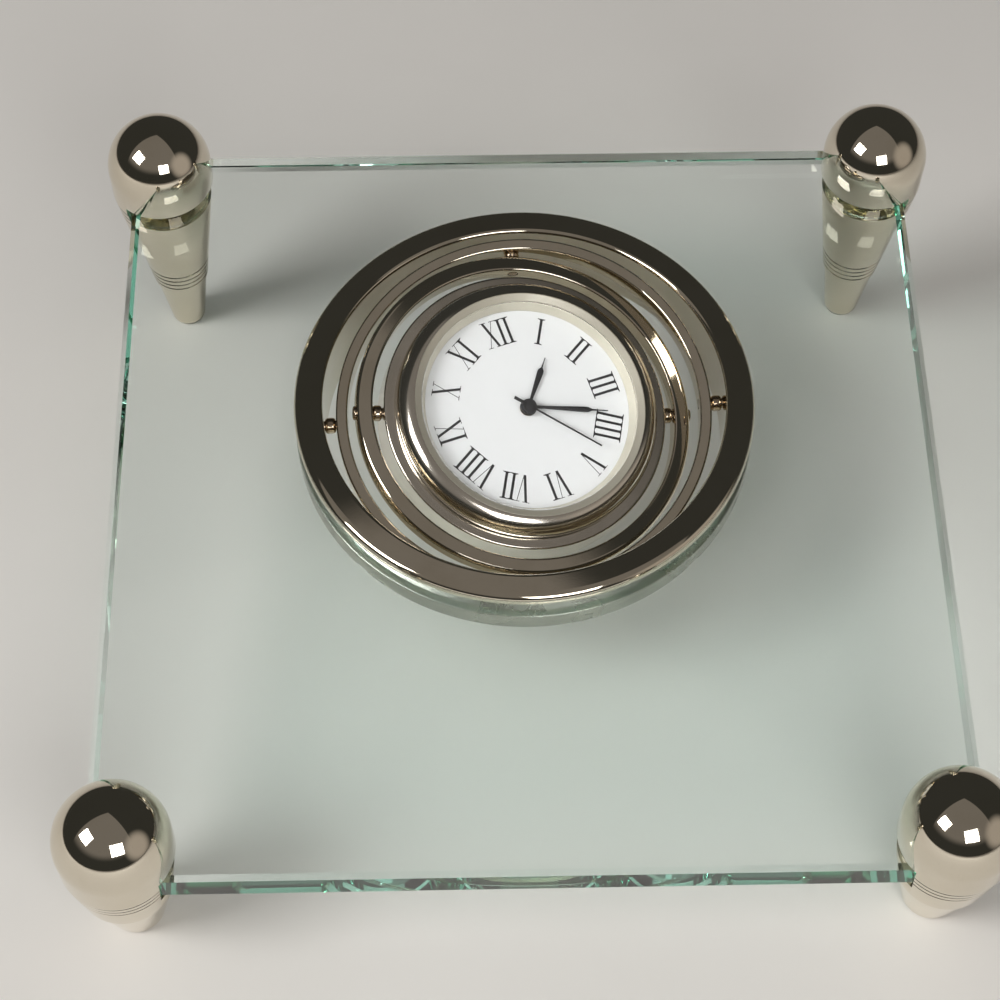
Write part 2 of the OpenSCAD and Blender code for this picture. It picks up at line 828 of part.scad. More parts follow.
module minute_hand() {
    color("#15151a")
        on_dial()
            translate([0, 0, minute_z])
                rotate([0, 0, minute_angle])
                    difference() {
                        leaf_hand(minute_len, minute_w);
                        translate([0, 0, -1])
                            cylinder(r = minute_or + press_fit, h = 3);
                    }
}

module seconds_wheel() {
    bottom = back_plate_back + flat_gap;
    seconds_pitch = train_centres * seconds_teeth / (seconds_teeth + leaf_teeth);
    pinion_pitch = train_centres * leaf_teeth / (leaf_teeth + third_teeth);
    color("#e7e2cf")
        on_dial() {
            translate([0, 0, bottom])
                cylinder(r = second_r, h = second_z + hand_t - bottom);
            translate([0, 0, layer_z(5)])
                toothed(seconds_teeth, seconds_pitch, wheel_t, 0, fifth_dir);
            translate([0, 0, layer_z(4)])
                toothed(leaf_teeth, pinion_pitch, wheel_t, 0, third_dir);
        }
}

module second_hand() {
    color("#15151a")
        on_dial()
            translate([0, 0, second_z])
                rotate([0, 0, second_angle])
                    difference() {
                        union() {
                            translate([-second_w / 2, 0, 0])
                                cube([second_w, second_len, hand_t]);
                            translate([-tail_w / 2, -second_tail, 0])
                                cube([tail_w, second_tail, hand_t]);
                            cylinder(r = boss_r * 0.73, h = hand_t);
                        }
                        translate([0, 0, -1])
                            cylinder(r = second_r + press_fit, h = 3);
                    }
}

module setting_wheel() {
    bottom = case_back - flat_gap - knob_h;
    wheel_pitch = motion_centres * setting_teeth / (setting_teeth + cannon_teeth);
    pinion_pitch = motion_centres * setting_pinion_teeth / (setting_pinion_teeth + hour_teeth);
    color("#e7e2cf")
        on_dial()
            translate([setting_at[0], setting_at[1], 0]) {
                translate([0, 0, bottom])
                    cylinder(r = setting_r, h = plate_back + pivot_end - bottom);
                translate([0, 0, layer_z(2)])
                    toothed(setting_teeth, wheel_pitch, wheel_t, 0, setting_dir + 180 + 180 / setting_teeth);
                translate([0, 0, layer_z(1)])
                    toothed(setting_pinion_teeth, pinion_pitch, wheel_t, 0,
                        setting_dir + 180 + 180 / setting_pinion_teeth);
            }
}

module setting_knob() {
    ridge = 0.12;
    step = 180 / knob_ridges;
    color("#3a3a3c")
        on_dial()
            translate([setting_at[0], setting_at[1], case_back - knob_h - flat_gap])
                difference() {
                    linear_extrude(knob_h)
                        polygon([for (i = [0:2 * knob_ridges - 1])
                            polar(knob_d / 2 - (i % 2) * ridge, i * step)]);
                    translate([0, 0, -1])
                        cylinder(r = setting_r + press_fit, h = knob_h + 2);
                }
}

// A wheel and a pinion on one thin arbor between the plates
module train_wheel(at, wheel_teeth, wheel_pitch, wheel_layer, wheel_dir, pinion_pitch, pinion_layer, pinion_dir) {
    bottom = back_plate_back + flat_gap;
    translate([at[0], at[1], 0]) {
        translate([0, 0, bottom])
            cylinder(r = arbor_r, h = plate_back + pivot_end - bottom);
        if (wheel_teeth > 0)
            translate([0, 0, layer_z(wheel_layer)])
                toothed(wheel_teeth, wheel_pitch, wheel_t, 0, wheel_dir);
        translate([0, 0, layer_z(pinion_layer)])
            toothed(leaf_teeth, pinion_pitch, wheel_t, 0, pinion_dir);
    }
}

module third_wheel() {
    color("#e7e2cf")
        on_dial()
            train_wheel(third_at, third_teeth, train_centres * third_teeth / (third_teeth + leaf_teeth), 4,
                third_dir + 180 + 180 / third_teeth, train_centres * leaf_teeth / (leaf_teeth + centre_teeth), 3,
                third_dir + 180 + 180 / leaf_teeth);
}

module centre_wheel() {
    color(brass)
        on_dial()
            translate([0, 0, layer_z(3)])
                toothed(centre_teeth, train_centres * centre_teeth / (centre_teeth + leaf_teeth), wheel_t,
                    minute_or + run_fit, third_dir);
}

module fifth_wheel() {
    color("#e7e2cf")
        on_dial()
            train_wheel(fifth_at, fifth_teeth, rotor_centres * fifth_teeth / (fifth_teeth + leaf_teeth), 6, rotor_dir,
                train_centres * leaf_teeth / (leaf_teeth + seconds_teeth), 5, fifth_dir + 180 + 180 / leaf_teeth);
}

module rotor() {
    color("#6f7174")
        on_dial() {
            train_wheel(rotor_at, 0, 0, 0, 0, rotor_centres * leaf_teeth / (leaf_teeth + fifth_teeth), 6,
                rotor_dir + 180 + 180 / leaf_teeth);
            translate([rotor_at[0], rotor_at[1], stator_z - stator_t / 2])
                cylinder(r = rotor_d / 2, h = stator_t);
        }
}

glass_plate();
post_front_left();
post_front_right();
post_back_left();
post_back_right();
slot_pads();
foot_pads();
outer_ring();
lock_ring();
outer_pin_left();
outer_pin_right();
outer_gimbal_ring();
inner_pin_front();
inner_pin_back();
inner_gimbal_ring();
clock_pin_left();
clock_pin_right();
clock_holder();
grip_ring();
case();
bezel();
crystal();
dial();
front_plate();
back_plate();
stator();
coil();
circuit_board();
quartz_can();
cell();
cell_contact();
cell_hatch();
hour_wheel();
hour_hand();
cannon_pinion();
minute_hand();
seconds_wheel();
second_hand();
setting_wheel();
setting_knob();
third_wheel();
centre_wheel();
fifth_wheel();
rotor();
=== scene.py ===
"""Dresses the gyroscope desk clock: a glass plate on ball-topped posts, gimbal rings and a small clock."""
import logging
import math
from dataclasses import dataclass, field
from enum import Enum
from typing import Any, Callable, Mapping, Sequence, Union

import bmesh
import bpy
from mathutils import Matrix, Vector


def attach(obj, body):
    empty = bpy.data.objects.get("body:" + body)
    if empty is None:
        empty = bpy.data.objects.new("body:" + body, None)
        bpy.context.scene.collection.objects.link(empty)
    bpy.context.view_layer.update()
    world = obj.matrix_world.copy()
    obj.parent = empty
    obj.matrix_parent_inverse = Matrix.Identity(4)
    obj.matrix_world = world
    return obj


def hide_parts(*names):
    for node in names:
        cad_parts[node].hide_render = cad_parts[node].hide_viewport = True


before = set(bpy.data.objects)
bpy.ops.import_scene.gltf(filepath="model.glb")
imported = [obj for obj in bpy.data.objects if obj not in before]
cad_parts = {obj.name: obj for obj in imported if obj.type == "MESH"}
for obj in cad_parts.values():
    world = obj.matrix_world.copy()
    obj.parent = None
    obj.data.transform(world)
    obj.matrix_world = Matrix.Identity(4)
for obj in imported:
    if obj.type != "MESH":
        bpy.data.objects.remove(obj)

LOG = logging.getLogger("desk_clock")
MM = 0.001
NOISE_ROUGHNESS = 0.55
RING_STEPS = 192
DISC_STEPS = 144
SUPPORT = 0.05
HAIRLINE = 0.01
TABLE_LEVEL = 0.00001
DEG_PER_HOUR = 30
DEG_PER_MINUTE = 6
Point = tuple[float, float]
Triple = tuple[float, float, float]
Colour = Triple


class Row(Enum):
    """A row of posts along the plate's front or back edge."""

    FRONT = -1
    BACK = 1


class Side(Enum):
    """A side of the plate, seen from the front."""

    LEFT = -1
    RIGHT = 1


class Glyph(Enum):
    """A letter of a Roman numeral, with the room that it takes along the row in millimetres."""

    I = 1.2
    V = 2.15
    X = 2.35


def turn(degrees: float, axis: str) -> Matrix:
    """Gives the matrix of a turn about one axis."""
    return Matrix.Rotation(math.radians(degrees), 4, axis)


def shift(x: float, y: float, z: float) -> Matrix:
    """Gives the matrix of a move in millimetres."""
    return Matrix.Translation((x, y, z))


@dataclass(frozen=True)
class Resting:
    """The places and angles at which the plate, the rings and the dial rest, in millimetres and degrees."""

    plate_rise: float = 32.4
    plate_shift: float = -0.1
    plate_tilt: float = 8.8
    gimbal_back: float = 14.4
    pivot_drop: float = 4.2
    yaw: float = 3.0
    outer_tilt: float = 11.2
    inner_roll: float = 10.6
    clock_tilt: float = 2.4
    dial_turn: float = 17.8

    def plate(self) -> Matrix:
        """Gives the place of the middle of the plate's top."""
        return shift(0, self.plate_shift, self.plate_rise) @ turn(self.plate_tilt, "X")

    def pivot(self) -> Matrix:
        """Gives the place of the point where all pivot axes meet."""
        return self.plate() @ shift(0, self.gimbal_back, -self.pivot_drop) @ turn(self.yaw, "Z")

    def outer(self) -> Matrix:
        """Gives the place of the outer gimbal ring."""
        return self.pivot() @ turn(self.outer_tilt, "X")

    def inner(self) -> Matrix:
        """Gives the place of the inner gimbal ring."""
        return self.outer() @ turn(self.inner_roll, "Y")

    def clock(self) -> Matrix:
        """Gives the place of the clock's holder."""
        return self.inner() @ turn(self.clock_tilt, "X")

    def dial(self) -> Matrix:
        """Gives the place of the clock, with XII along its own Y axis."""
        return self.clock() @ turn(self.dial_turn, "Z")


REST = Resting()


class Wire:
    """A shader socket that takes part in Python expressions on values."""

    def __init__(self, board: "Board", socket: bpy.types.NodeSocket) -> None:
        """Wraps a socket of a board's node.

        Args:
            board: The node board that the socket belongs to.
            socket: The output socket.
        """
        self.board = board
        self.socket = socket

    def _sum(self, operation: str, first: Any, second: Any) -> "Wire":
        """Adds one Math node.

        Args:
            operation: The node's operation.
            first: A number or a wire.
            second: A number or a wire.

        Returns:
            The node's value.
        """
        return self.board.node("ShaderNodeMath", {"operation": operation}, {0: first, 1: second})

    def __add__(self, other: Any) -> "Wire":
        """Adds."""
        return self._sum("ADD", self, other)

    def __radd__(self, other: Any) -> "Wire":
        """Adds, from the right."""
        return self._sum("ADD", other, self)

    def __sub__(self, other: Any) -> "Wire":
        """Subtracts."""
        return self._sum("SUBTRACT", self, other)

    def __rsub__(self, other: Any) -> "Wire":
        """Subtracts, from the right."""
        return self._sum("SUBTRACT", other, self)

    def __mul__(self, other: Any) -> "Wire":
        """Multiplies."""
        return self._sum("MULTIPLY", self, other)

    def __rmul__(self, other: Any) -> "Wire":
        """Multiplies, from the right."""
        return self._sum("MULTIPLY", other, self)


class Board:
    """A node tree with one method for every kind of node."""

    def __init__(self, tree: bpy.types.NodeTree) -> None:
        """Clears a tree and takes it over.

        Args:
            tree: The node tree of a material or a world.
        """
        self.tree = tree
        tree.nodes.clear()

    def node(
        self,
        kind: str,
        settings: Mapping[str, Any] = {},
        sockets: Mapping[Union[int, str], Any] = {},
        out: Union[int, str] = 0,
    ) -> Wire:
        """Adds a node.

        Args:
            kind: The node's type.
            settings: Its properties, set before its inputs.
            sockets: Values or wires for its inputs.
            out: The output that is handed back.

        Returns:
            A wire from the chosen output.
        """
        made = self.tree.nodes.new(kind)
        for key, value in settings.items():
            setattr(made, key, value)
        for key, value in sockets.items():
            socket = made.inputs[key]
            if isinstance(value, Wire):
                self.tree.links.new(value.socket, socket)
            elif isinstance(value, tuple) and socket.type == "RGBA":
                socket.default_value = (*value, 1.0)
            else:
                socket.default_value = value
        return Wire(self, made.outputs[out]) if made.outputs else None

    def place(self) -> Wire:
        """Gives the Object coordinates."""
        return self.node("ShaderNodeTexCoord", out="Object")

    def noise(self, at: Wire, scale: float, detail: float) -> Wire:
        """Gives a noise value about 0.5, with its scale in features for each metre."""
        return self.node("ShaderNodeTexNoise", {"noise_dimensions": "3D"},
                         {"Vector": at, "Scale": scale, "Detail": detail, "Roughness": NOISE_ROUGHNESS}, "Fac")

    def span(self, value: Wire, low: float, high: float) -> Wire:
        """Maps a span of values smoothly onto 0 to 1 and holds it there."""
        return self.node("ShaderNodeMapRange", {"interpolation_type": "SMOOTHSTEP"},
                         {"Value": value, "From Min": low, "From Max": high})

    def blend(self, part: Any, first: Any, second: Any) -> Wire:
        """Mixes two colours."""
        return self.node("ShaderNodeMix", {"data_type": "RGBA", "clamp_factor": True},
                         {"Factor": part, 6: first, 7: second}, 2)

    def bump(self, height: Wire, strength: float, distance: float) -> Wire:
        """Gives a normal that follows a height."""
        return self.node("ShaderNodeBump", {}, {"Height": height, "Strength": strength, "Distance": distance})


@dataclass(frozen=True)
class Finish:
    """A finish that several pieces share."""

    name: str

    def material(self) -> bpy.types.Material:
        """Gives the finish's material, made on first use.

        Returns:
            The material with its node tree.
        """
        title = f"{self.name}_finish"
        found = bpy.data.materials.get(title)
        if found is None:
            found = bpy.data.materials.new(title)
            found.use_nodes = True
            self.wire(Board(found.node_tree))
        return found

    def wire(self, board: Board) -> None:
        """Fills the node board.

        Args:
            board: The cleared node board of the material.
        """
        raise NotImplementedError

    @staticmethod
    def output(board: Board, sockets: Mapping[str, Any]) -> None:
        """Links the surface, and a volume if there is one, to the material's output."""
        board.node("ShaderNodeOutputMaterial", {}, sockets)


@dataclass(frozen=True)
class Metal(Finish):
    """Plated or plain metal with handling smears and fine polishing lines."""

    colour: Colour
    worn: Colour
    roughness: float
    smear: float
    line_scale: float = 2600.0
    line_depth: float = 0.0000006
    cloud_scale: float = 95.0
    speck_scale: float = 1900.0
    line_stretch: float = 9.0

    def wire(self, board: Board) -> None:
        """Wires smears, specks and polishing lines.

        Args:
            board: The cleared node board of the material.
        """
        at = board.place()
        cloud = board.span(board.noise(at, self.cloud_scale, 4.0), 0.36, 0.68)
        speck = board.span(board.noise(at, self.speck_scale, 2.0), 0.6, 0.72)
        drawn = board.node("ShaderNodeMapping", {}, {"Vector": at, "Scale": (1.0, 1.0, self.line_stretch)})
        lines = board.noise(drawn, self.line_scale, 2.0)
        tint = board.blend(cloud * 0.6 + speck * 0.2, self.colour, self.worn)
        rough = self.roughness + self.smear * cloud + 0.4 * self.smear * speck
        skin = board.node("ShaderNodeBsdfPrincipled", {}, {
            "Base Color": tint, "Metallic": 1.0, "Roughness": rough,
            "Normal": board.bump(lines, 0.5, self.line_depth)})
        self.output(board, {"Surface": skin})


@dataclass(frozen=True)
class Glass(Finish):
    """Clear glass with a body tint, faint smears and a light shadow."""

    body: Colour
    density: float
    shadow: Colour
    ior: float
    smear: float
    cloud_scale: float = 55.0

    def wire(self, board: Board) -> None:
        """Wires clear glass that lets shadow rays through.

        Args:
            board: The cleared node board of the material.
        """
        at = board.place()
        cloud = board.span(board.noise(at, self.cloud_scale, 5.0), 0.55, 0.8)
        clear = board.node("ShaderNodeBsdfPrincipled", {}, {
            "Base Color": (1.0, 1.0, 1.0), "Roughness": cloud * self.smear, "IOR": self.ior,
            "Transmission Weight": 1.0})
        through = board.node("ShaderNodeBsdfTransparent", {}, {"Color": self.shadow})
        ray = board.node("ShaderNodeLightPath", out="Is Shadow Ray")
        skin = board.node("ShaderNodeMixShader", {}, {0: ray, 1: clear, 2: through})
        volume = board.node("ShaderNodeVolumeAbsorption", {}, {"Color": self.body, "Density": self.density})
        self.output(board, {"Surface": skin, "Volume": volume})


@dataclass(frozen=True)
class Coating(Finish):
    """Paint, plastic or rubber with a slight grain and uneven gloss."""

    colour: Colour
    shade: Colour
    roughness: float
    grain_scale: float = 2200.0
    grain_depth: float = 0.000004
    coat: float = 0.0
    metallic: float = 0.0
    cloud_scale: float = 130.0

    def wire(self, board: Board) -> None:
        """Wires an uneven gloss over a slight grain.

        Args:
            board: The cleared node board of the material.
        """
        at = board.place()
        cloud = board.span(board.noise(at, self.cloud_scale, 4.0), 0.35, 0.7)
        grain = board.noise(at, self.grain_scale, 3.0)
        tint = board.blend(cloud * 0.5 + 0.35 * board.span(grain, 0.45, 0.75), self.colour, self.shade)
        rough = self.roughness + 0.1 * cloud + 0.06 * grain
        skin = board.node("ShaderNodeBsdfPrincipled", {}, {
            "Base Color": tint, "Roughness": rough, "Metallic": self.metallic, "Coat Weight": self.coat,
            "Normal": board.bump(grain, 0.4, self.grain_depth)})
        self.output(board, {"Surface": skin})


@dataclass(frozen=True)
class Winding(Finish):
    """Copper wire wound side by side along one axis."""

    colour: Colour
    gap: Colour
    pitch: float = 0.00012
    bands: float = 0.314

    def wire(self, board: Board) -> None:
        """Wires bands of wire with dark gaps.

        Args:
            board: The cleared node board of the material.
        """
        at = board.place()
        turns = board.node("ShaderNodeTexWave", {"wave_type": "BANDS", "bands_direction": "Y"},
                           {"Vector": at, "Scale": self.bands / self.pitch, "Distortion": 0.4}, "Fac")
        skin = board.node("ShaderNodeBsdfPrincipled", {}, {
            "Base Color": board.blend(turns, self.gap, self.colour), "Metallic": 0.8,
            "Roughness": 0.5 - 0.2 * turns, "Normal": board.bump(turns, 0.6, 0.00003)})
        self.output(board, {"Surface": skin})


MIRROR_NICKEL = Metal("mirror_nickel", (0.745, 0.685, 0.575), (0.67, 0.605, 0.49), 0.028, 0.035)
SOFT_NICKEL = Metal("soft_nickel", (0.79, 0.745, 0.665), (0.70, 0.65, 0.57), 0.12, 0.05, 3400.0, 0.0000014)
PIN_NICKEL = Metal("pin_nickel", (0.5, 0.41, 0.31), (0.36, 0.29, 0.22), 0.1, 0.06, 4200.0, 0.0000012)
DULL_NICKEL = Metal("dull_nickel", (0.46, 0.455, 0.41), (0.33, 0.33, 0.3), 0.26, 0.14, 1500.0, 0.000002)
PLATE_GLASS = Glass("plate_glass", (0.03, 0.77, 0.58), 9.0, (0.565, 0.598, 0.59), 1.52, 0.0)
CRYSTAL_GLASS = Glass("crystal_glass", (0.85, 0.9, 0.9), 8.0, (0.96, 0.965, 0.965), 1.47, 0.004)
CLEAR_PAD = Glass("clear_pad", (0.7, 0.78, 0.72), 160.0, (0.9, 0.92, 0.9), 1.42, 0.08)
FOOT_PAD = Coating("foot_pad", (0.62, 0.6, 0.55), (0.5, 0.48, 0.44), 0.55)
RUBBER = Coating("black_rubber", (0.02, 0.02, 0.02), (0.035, 0.034, 0.033), 0.6)
CASE_PLASTIC = Coating("case_plastic", (0.56, 0.54, 0.49), (0.46, 0.44, 0.4), 0.34)
DIAL_WHITE = Coating("dial_white", (0.745, 0.76, 0.765), (0.72, 0.735, 0.74), 0.4, 5200.0, 0.0000015, 0.1)
PRINT_BLACK = Coating("print_black", (0.012, 0.012, 0.014), (0.022, 0.021, 0.022), 0.4)
HAND_BLACK = Coating("hand_black", (0.01, 0.01, 0.012), (0.016, 0.015, 0.016), 0.45, 3000.0, 0.000001)
SIGHT_SILVER = Coating("sight_silver", (0.62, 0.59, 0.49), (0.54, 0.51, 0.42), 0.3, 3800.0, 0.000002, 0.2, 0.35)
FRAME_PLASTIC = Coating("frame_plastic", (0.7, 0.65, 0.53), (0.6, 0.55, 0.44), 0.45)
TRAIN_PLASTIC = Coating("train_plastic", (0.76, 0.72, 0.58), (0.68, 0.63, 0.5), 0.4)
BOARD_GREEN = Coating("board_green", (0.02, 0.13, 0.05), (0.03, 0.18, 0.07), 0.35)
KNOB_PLASTIC = Coating("knob_plastic", (0.03, 0.03, 0.032), (0.05, 0.05, 0.05), 0.42)
STEEL = Metal("plain_steel", (0.5, 0.5, 0.51), (0.38, 0.38, 0.39), 0.3, 0.1, 1800.0, 0.000002)
CAN_STEEL = Metal("drawn_steel", (0.66, 0.66, 0.66), (0.55, 0.55, 0.55), 0.22, 0.08, 1800.0, 0.0000015)
BRASS = Metal("cut_brass", (0.78, 0.58, 0.25), (0.62, 0.44, 0.18), 0.24, 0.1, 2000.0, 0.0000015)
COPPER = Winding("coil_wire", (0.62, 0.25, 0.09), (0.16, 0.06, 0.03))


@dataclass(frozen=True)
class Corner:
    """A corner of a turned section: its radius, its level and the rounding at it."""

    r: float
    z: float
    rounding: float = 0.0


def band(inner: float, outer: float, low: float, high: float, roundings: Sequence[float]) -> list[Corner]:
    """Gives the section of a ring.

    Args:
        inner: Its inner radius.
        outer: Its outer radius.
        low: The level of its lower face.
        high: The level of its upper face.
        roundings: The roundings from the lower inner corner outwards and up.

    Returns:
        The four corners.
    """
    spots = ((inner, low), (outer, low), (outer, high), (inner, high))
    return [Corner(r, z, rounding) for (r, z), rounding in zip(spots, roundings)]


def disc(r: float, low: float, high: float, upper: float, lower: float = 0.0) -> list[Corner]:
    """Gives half of the section of a disc, from the middle of its top, with its upper and lower roundings."""
    return [Corner(0, high), Corner(r, high, upper), Corner(r, low, lower), Corner(0, low)]


def section(corners: Sequence[Corner], closed: bool, arc: int, support: float = SUPPORT) -> list[Point]:
    """Rounds the corners of a section and sets a support point beside each rounding.

    Args:
        corners: The corners in order.
        closed: Whether the last corner leads back to the first.
        arc: The number of steps in a rounding.
        support: The distance of a support point from its rounding, in millimetres.

    Returns:
        The points of the section.
    """
    points: list[Point] = []
    for i, corner in enumerate(corners):
        here = Vector((corner.r, corner.z))
        if corner.rounding <= 0 or (not closed and i in (0, len(corners) - 1)):
            points.append((corner.r, corner.z))
            continue
        last, following = corners[i - 1], corners[(i + 1) % len(corners)]
        back = Vector((last.r, last.z)) - here
        ahead = Vector((following.r, following.z)) - here
        u, v = back.normalized(), ahead.normalized()
        half = u.angle(v) / 2
        reach = corner.rounding / math.tan(half)
        centre = here + (u + v).normalized() * (corner.rounding / math.sin(half))
        a, b = here + u * reach - centre, here + v * reach - centre
        sweep = math.atan2(a.x * b.y - a.y * b.x, a.dot(b))
        if reach + support < back.length / 2:
            points.append(tuple(here + u * (reach + support)))
        for k in range(arc + 1):
            points.append(tuple(centre + Matrix.Rotation(sweep * k / arc, 2) @ a))
        if reach + support < ahead.length / 2:
            points.append(tuple(here + v * (reach + support)))
    return points


class Bench:
    """The modelling operators, used as by hand on one new object at a time, in millimetres."""

    @staticmethod
    def clear() -> None:
        """Leaves edit mode and deselects everything."""
        if bpy.context.object and bpy.context.object.mode != "OBJECT":
            bpy.ops.object.mode_set(mode="OBJECT")
        bpy.ops.object.select_all(action="DESELECT")

    @staticmethod
    def pick(*objects: bpy.types.Object) -> None:
        """Selects objects and makes the first of them active.

        Args:
            objects: The objects.
        """
        Bench.clear()
        for obj in objects:
            obj.select_set(True)
        bpy.context.view_layer.objects.active = objects[0]

    @staticmethod
    def chain(name: str, points: Sequence[Vector], closed: bool) -> bpy.types.Object:
        """Draws a chain of edges by extruding one vertex from point to point.

        Args:
            name: The new object's name.
            points: The points that the chain passes.
            closed: Whether the chain ends where it started.

        Returns:
            The object, in edit mode with all selected.
        """
        Bench.clear()
        bpy.ops.mesh.primitive_plane_add(size=1.0, location=(0, 0, 0))
        obj = bpy.context.active_object
        obj.name = name
        bpy.ops.object.mode_set(mode="EDIT")
        bpy.ops.mesh.select_all(action="SELECT")
        bpy.ops.mesh.merge(type="CENTER")
        bpy.ops.transform.translate(value=points[0])
        for a, b in zip(points, points[1:]):
            bpy.ops.mesh.extrude_region_move(TRANSFORM_OT_translate={"value": b - a})
        if closed:
            net = bmesh.from_edit_mesh(obj.data)
            for vert in net.verts:
                vert.select = len(vert.link_edges) < 2
            net.select_flush_mode()
            bmesh.update_edit_mesh(obj.data)
            bpy.ops.mesh.edge_face_add()
        bpy.ops.mesh.select_all(action="SELECT")
        return obj

    @staticmethod
    def lathe(name: str, points: Sequence[Point], steps: int, closed: bool) -> bpy.types.Object:
        """Spins a section about the Z axis.

        Args:
            name: The new object's name.
            points: Radius and level of each point of the section.
            steps: The number of steps round the axis.
            closed: Whether the section is a closed loop rather than a line from axis to axis.

        Returns:
            The turned object.
        """
        obj = Bench.chain(name, [Vector((r, 0, z)) for r, z in points], closed)
        bpy.ops.mesh.spin(steps=steps, angle=math.tau, center=(0, 0, 0), axis=(0, 0, 1))
        bpy.ops.mesh.select_all(action="SELECT")
        bpy.ops.mesh.remove_doubles(threshold=0.0002)
        bpy.ops.mesh.normals_make_consistent(inside=False)
        bpy.ops.object.mode_set(mode="OBJECT")
        return obj

    @staticmethod
    def turned(
        name: str,
        corners: Sequence[Corner],
        closed: bool = True,
        steps: int = RING_STEPS,
        arc: int = 6,
        support: float = SUPPORT,
    ) -> bpy.types.Object:
        """Rounds the corners of a section and spins it about the Z axis.

        Args:
            name: The new object's name.
            corners: The corners in order.
            closed: Whether the section is a closed loop rather than a line from axis to axis.
            steps: The number of steps round the axis.
            arc: The number of steps in a rounding.
            support: The distance of a support point from its rounding, in millimetres.

        Returns:
            The turned object.
        """
        return Bench.lathe(name, section(corners, closed, arc, support), steps, closed)

    @staticmethod
    def slab(name: str, points: Sequence[Point], base: float, thick: float) -> bpy.types.Object:
        """Fills a flat outline and extrudes it upwards.

        Args:
            name: The new object's name.
            points: The outline.
            base: Its level.
            thick: The height of the extrusion.

        Returns:
            The flat object.
        """
        obj = Bench.chain(name, [Vector((x, y, base)) for x, y in points], True)
        bpy.ops.mesh.edge_face_add()
        bpy.ops.mesh.extrude_region_move(TRANSFORM_OT_translate={"value": (0, 0, thick)})
        bpy.ops.mesh.select_all(action="SELECT")
        bpy.ops.mesh.normals_make_consistent(inside=False)
        bpy.ops.object.mode_set(mode="OBJECT")
        return obj

    @staticmethod
    def rods(radius: float, places: Sequence[Matrix], depth: float, sides: int = 32) -> bpy.types.Object:
        """Makes round cutters along the Z axes of some places.

        Args:
            radius: Their radius.
            places: The middle and direction of each.
            depth: Their length.
            sides: The number of their sides.

        Returns:
            The cutters as one object.
        """
        made = []
        for place in places:
            Bench.clear()
            bpy.ops.mesh.primitive_cylinder_add(vertices=sides, radius=radius, depth=depth)
            rod = bpy.context.active_object
            rod.matrix_world = place
            made.append(rod)
        return Bench.join(*made)

    @staticmethod
    def block(size: Triple, middle: Triple) -> bpy.types.Object:
        """Adds a box of a size about a middle, with its place in its mesh.

        Args:
            size: Its three sides.
            middle: Its middle.

        Returns:
            The box.
        """
        Bench.clear()
        bpy.ops.mesh.primitive_cube_add(size=1.0, location=(0, 0, 0))
        obj = bpy.context.active_object
        obj.matrix_world = shift(*middle) @ Matrix.Diagonal((*size, 1.0))
        bpy.ops.object.transform_apply(location=True, rotation=True, scale=True)
        return obj

    @staticmethod
    def join(*objects: bpy.types.Object) -> bpy.types.Object:
        """Joins objects into the first of them, with its place in its mesh.

        Args:
            objects: The objects.

        Returns:
            The whole.
        """
        Bench.pick(*objects)
        bpy.ops.object.transform_apply(location=True, rotation=True, scale=True)
        if len(objects) > 1:
            bpy.ops.object.join()
        return bpy.context.active_object

    @staticmethod
    def cut(obj: bpy.types.Object, cutter: bpy.types.Object) -> None:
        """Takes a cutter's shape out of an object and removes the cutter.

        Args:
            obj: The object.
            cutter: The cutter.
        """
        change = obj.modifiers.new("cut", "BOOLEAN")
        change.operation, change.solver, change.object = "DIFFERENCE", "EXACT", cutter
        Bench.pick(obj)
        bpy.ops.object.modifier_apply(modifier=change.name)
        bpy.data.objects.remove(cutter, do_unlink=True)

    @staticmethod
    def drill(
        obj: bpy.types.Object,
        radius: float,
        at: float,
        depth: float,
        angle: float = 0.0,
        axis: Matrix = Matrix.Identity(4),
    ) -> None:
        """Drills two opposite holes through the wall of a ring.

        Args:
            obj: The ring.
            radius: The radius of the holes.
            at: The distance of their middles from the axis.
            depth: The length of the drill.
            angle: The direction of the first hole in degrees.
            axis: The frame in which the direction is given.
        """
        spots = [axis @ turn(angle + a, "Z") @ shift(at, 0, 0) @ turn(90, "Y") for a in (0, 180)]
        Bench.cut(obj, Bench.rods(radius, spots, depth))

    @staticmethod
    def trim(obj: bpy.types.Object, at: Triple, way: Triple, threshold: float) -> None:
        """Cuts off what lies behind a plane and closes the cut.

        Args:
            obj: The piece.
            at: A point of the plane.
            way: The plane's normal, towards what stays.
            threshold: How near a point counts as lying on the plane.
        """
        Bench.pick(obj)
        bpy.ops.object.mode_set(mode="EDIT")
        bpy.ops.mesh.select_all(action="SELECT")
        bpy.ops.mesh.bisect(plane_co=at, plane_no=way, use_fill=True, clear_inner=True, threshold=threshold)
        bpy.ops.object.mode_set(mode="OBJECT")

    @staticmethod
    def bevel(
        obj: bpy.types.Object,
        wanted: Callable[[bmesh.types.BMEdge], bool],
        offset: float,
        segments: int,
        clamp: bool,
    ) -> None:
        """Bevels the edges that a test picks out.

        Args:
            obj: The active piece.
            wanted: The test.
            offset: The width of the bevel.
            segments: The number of its steps.
            clamp: Whether bevels may not overlap.
        """
        bpy.ops.object.mode_set(mode="EDIT")
        net = bmesh.from_edit_mesh(obj.data)
        for edge in net.edges:
            edge.select = wanted(edge)
        bmesh.update_edit_mesh(obj.data)
        bpy.ops.mesh.bevel(offset=offset, segments=segments, affect="EDGES", clamp_overlap=clamp)
        bpy.ops.object.mode_set(mode="OBJECT")

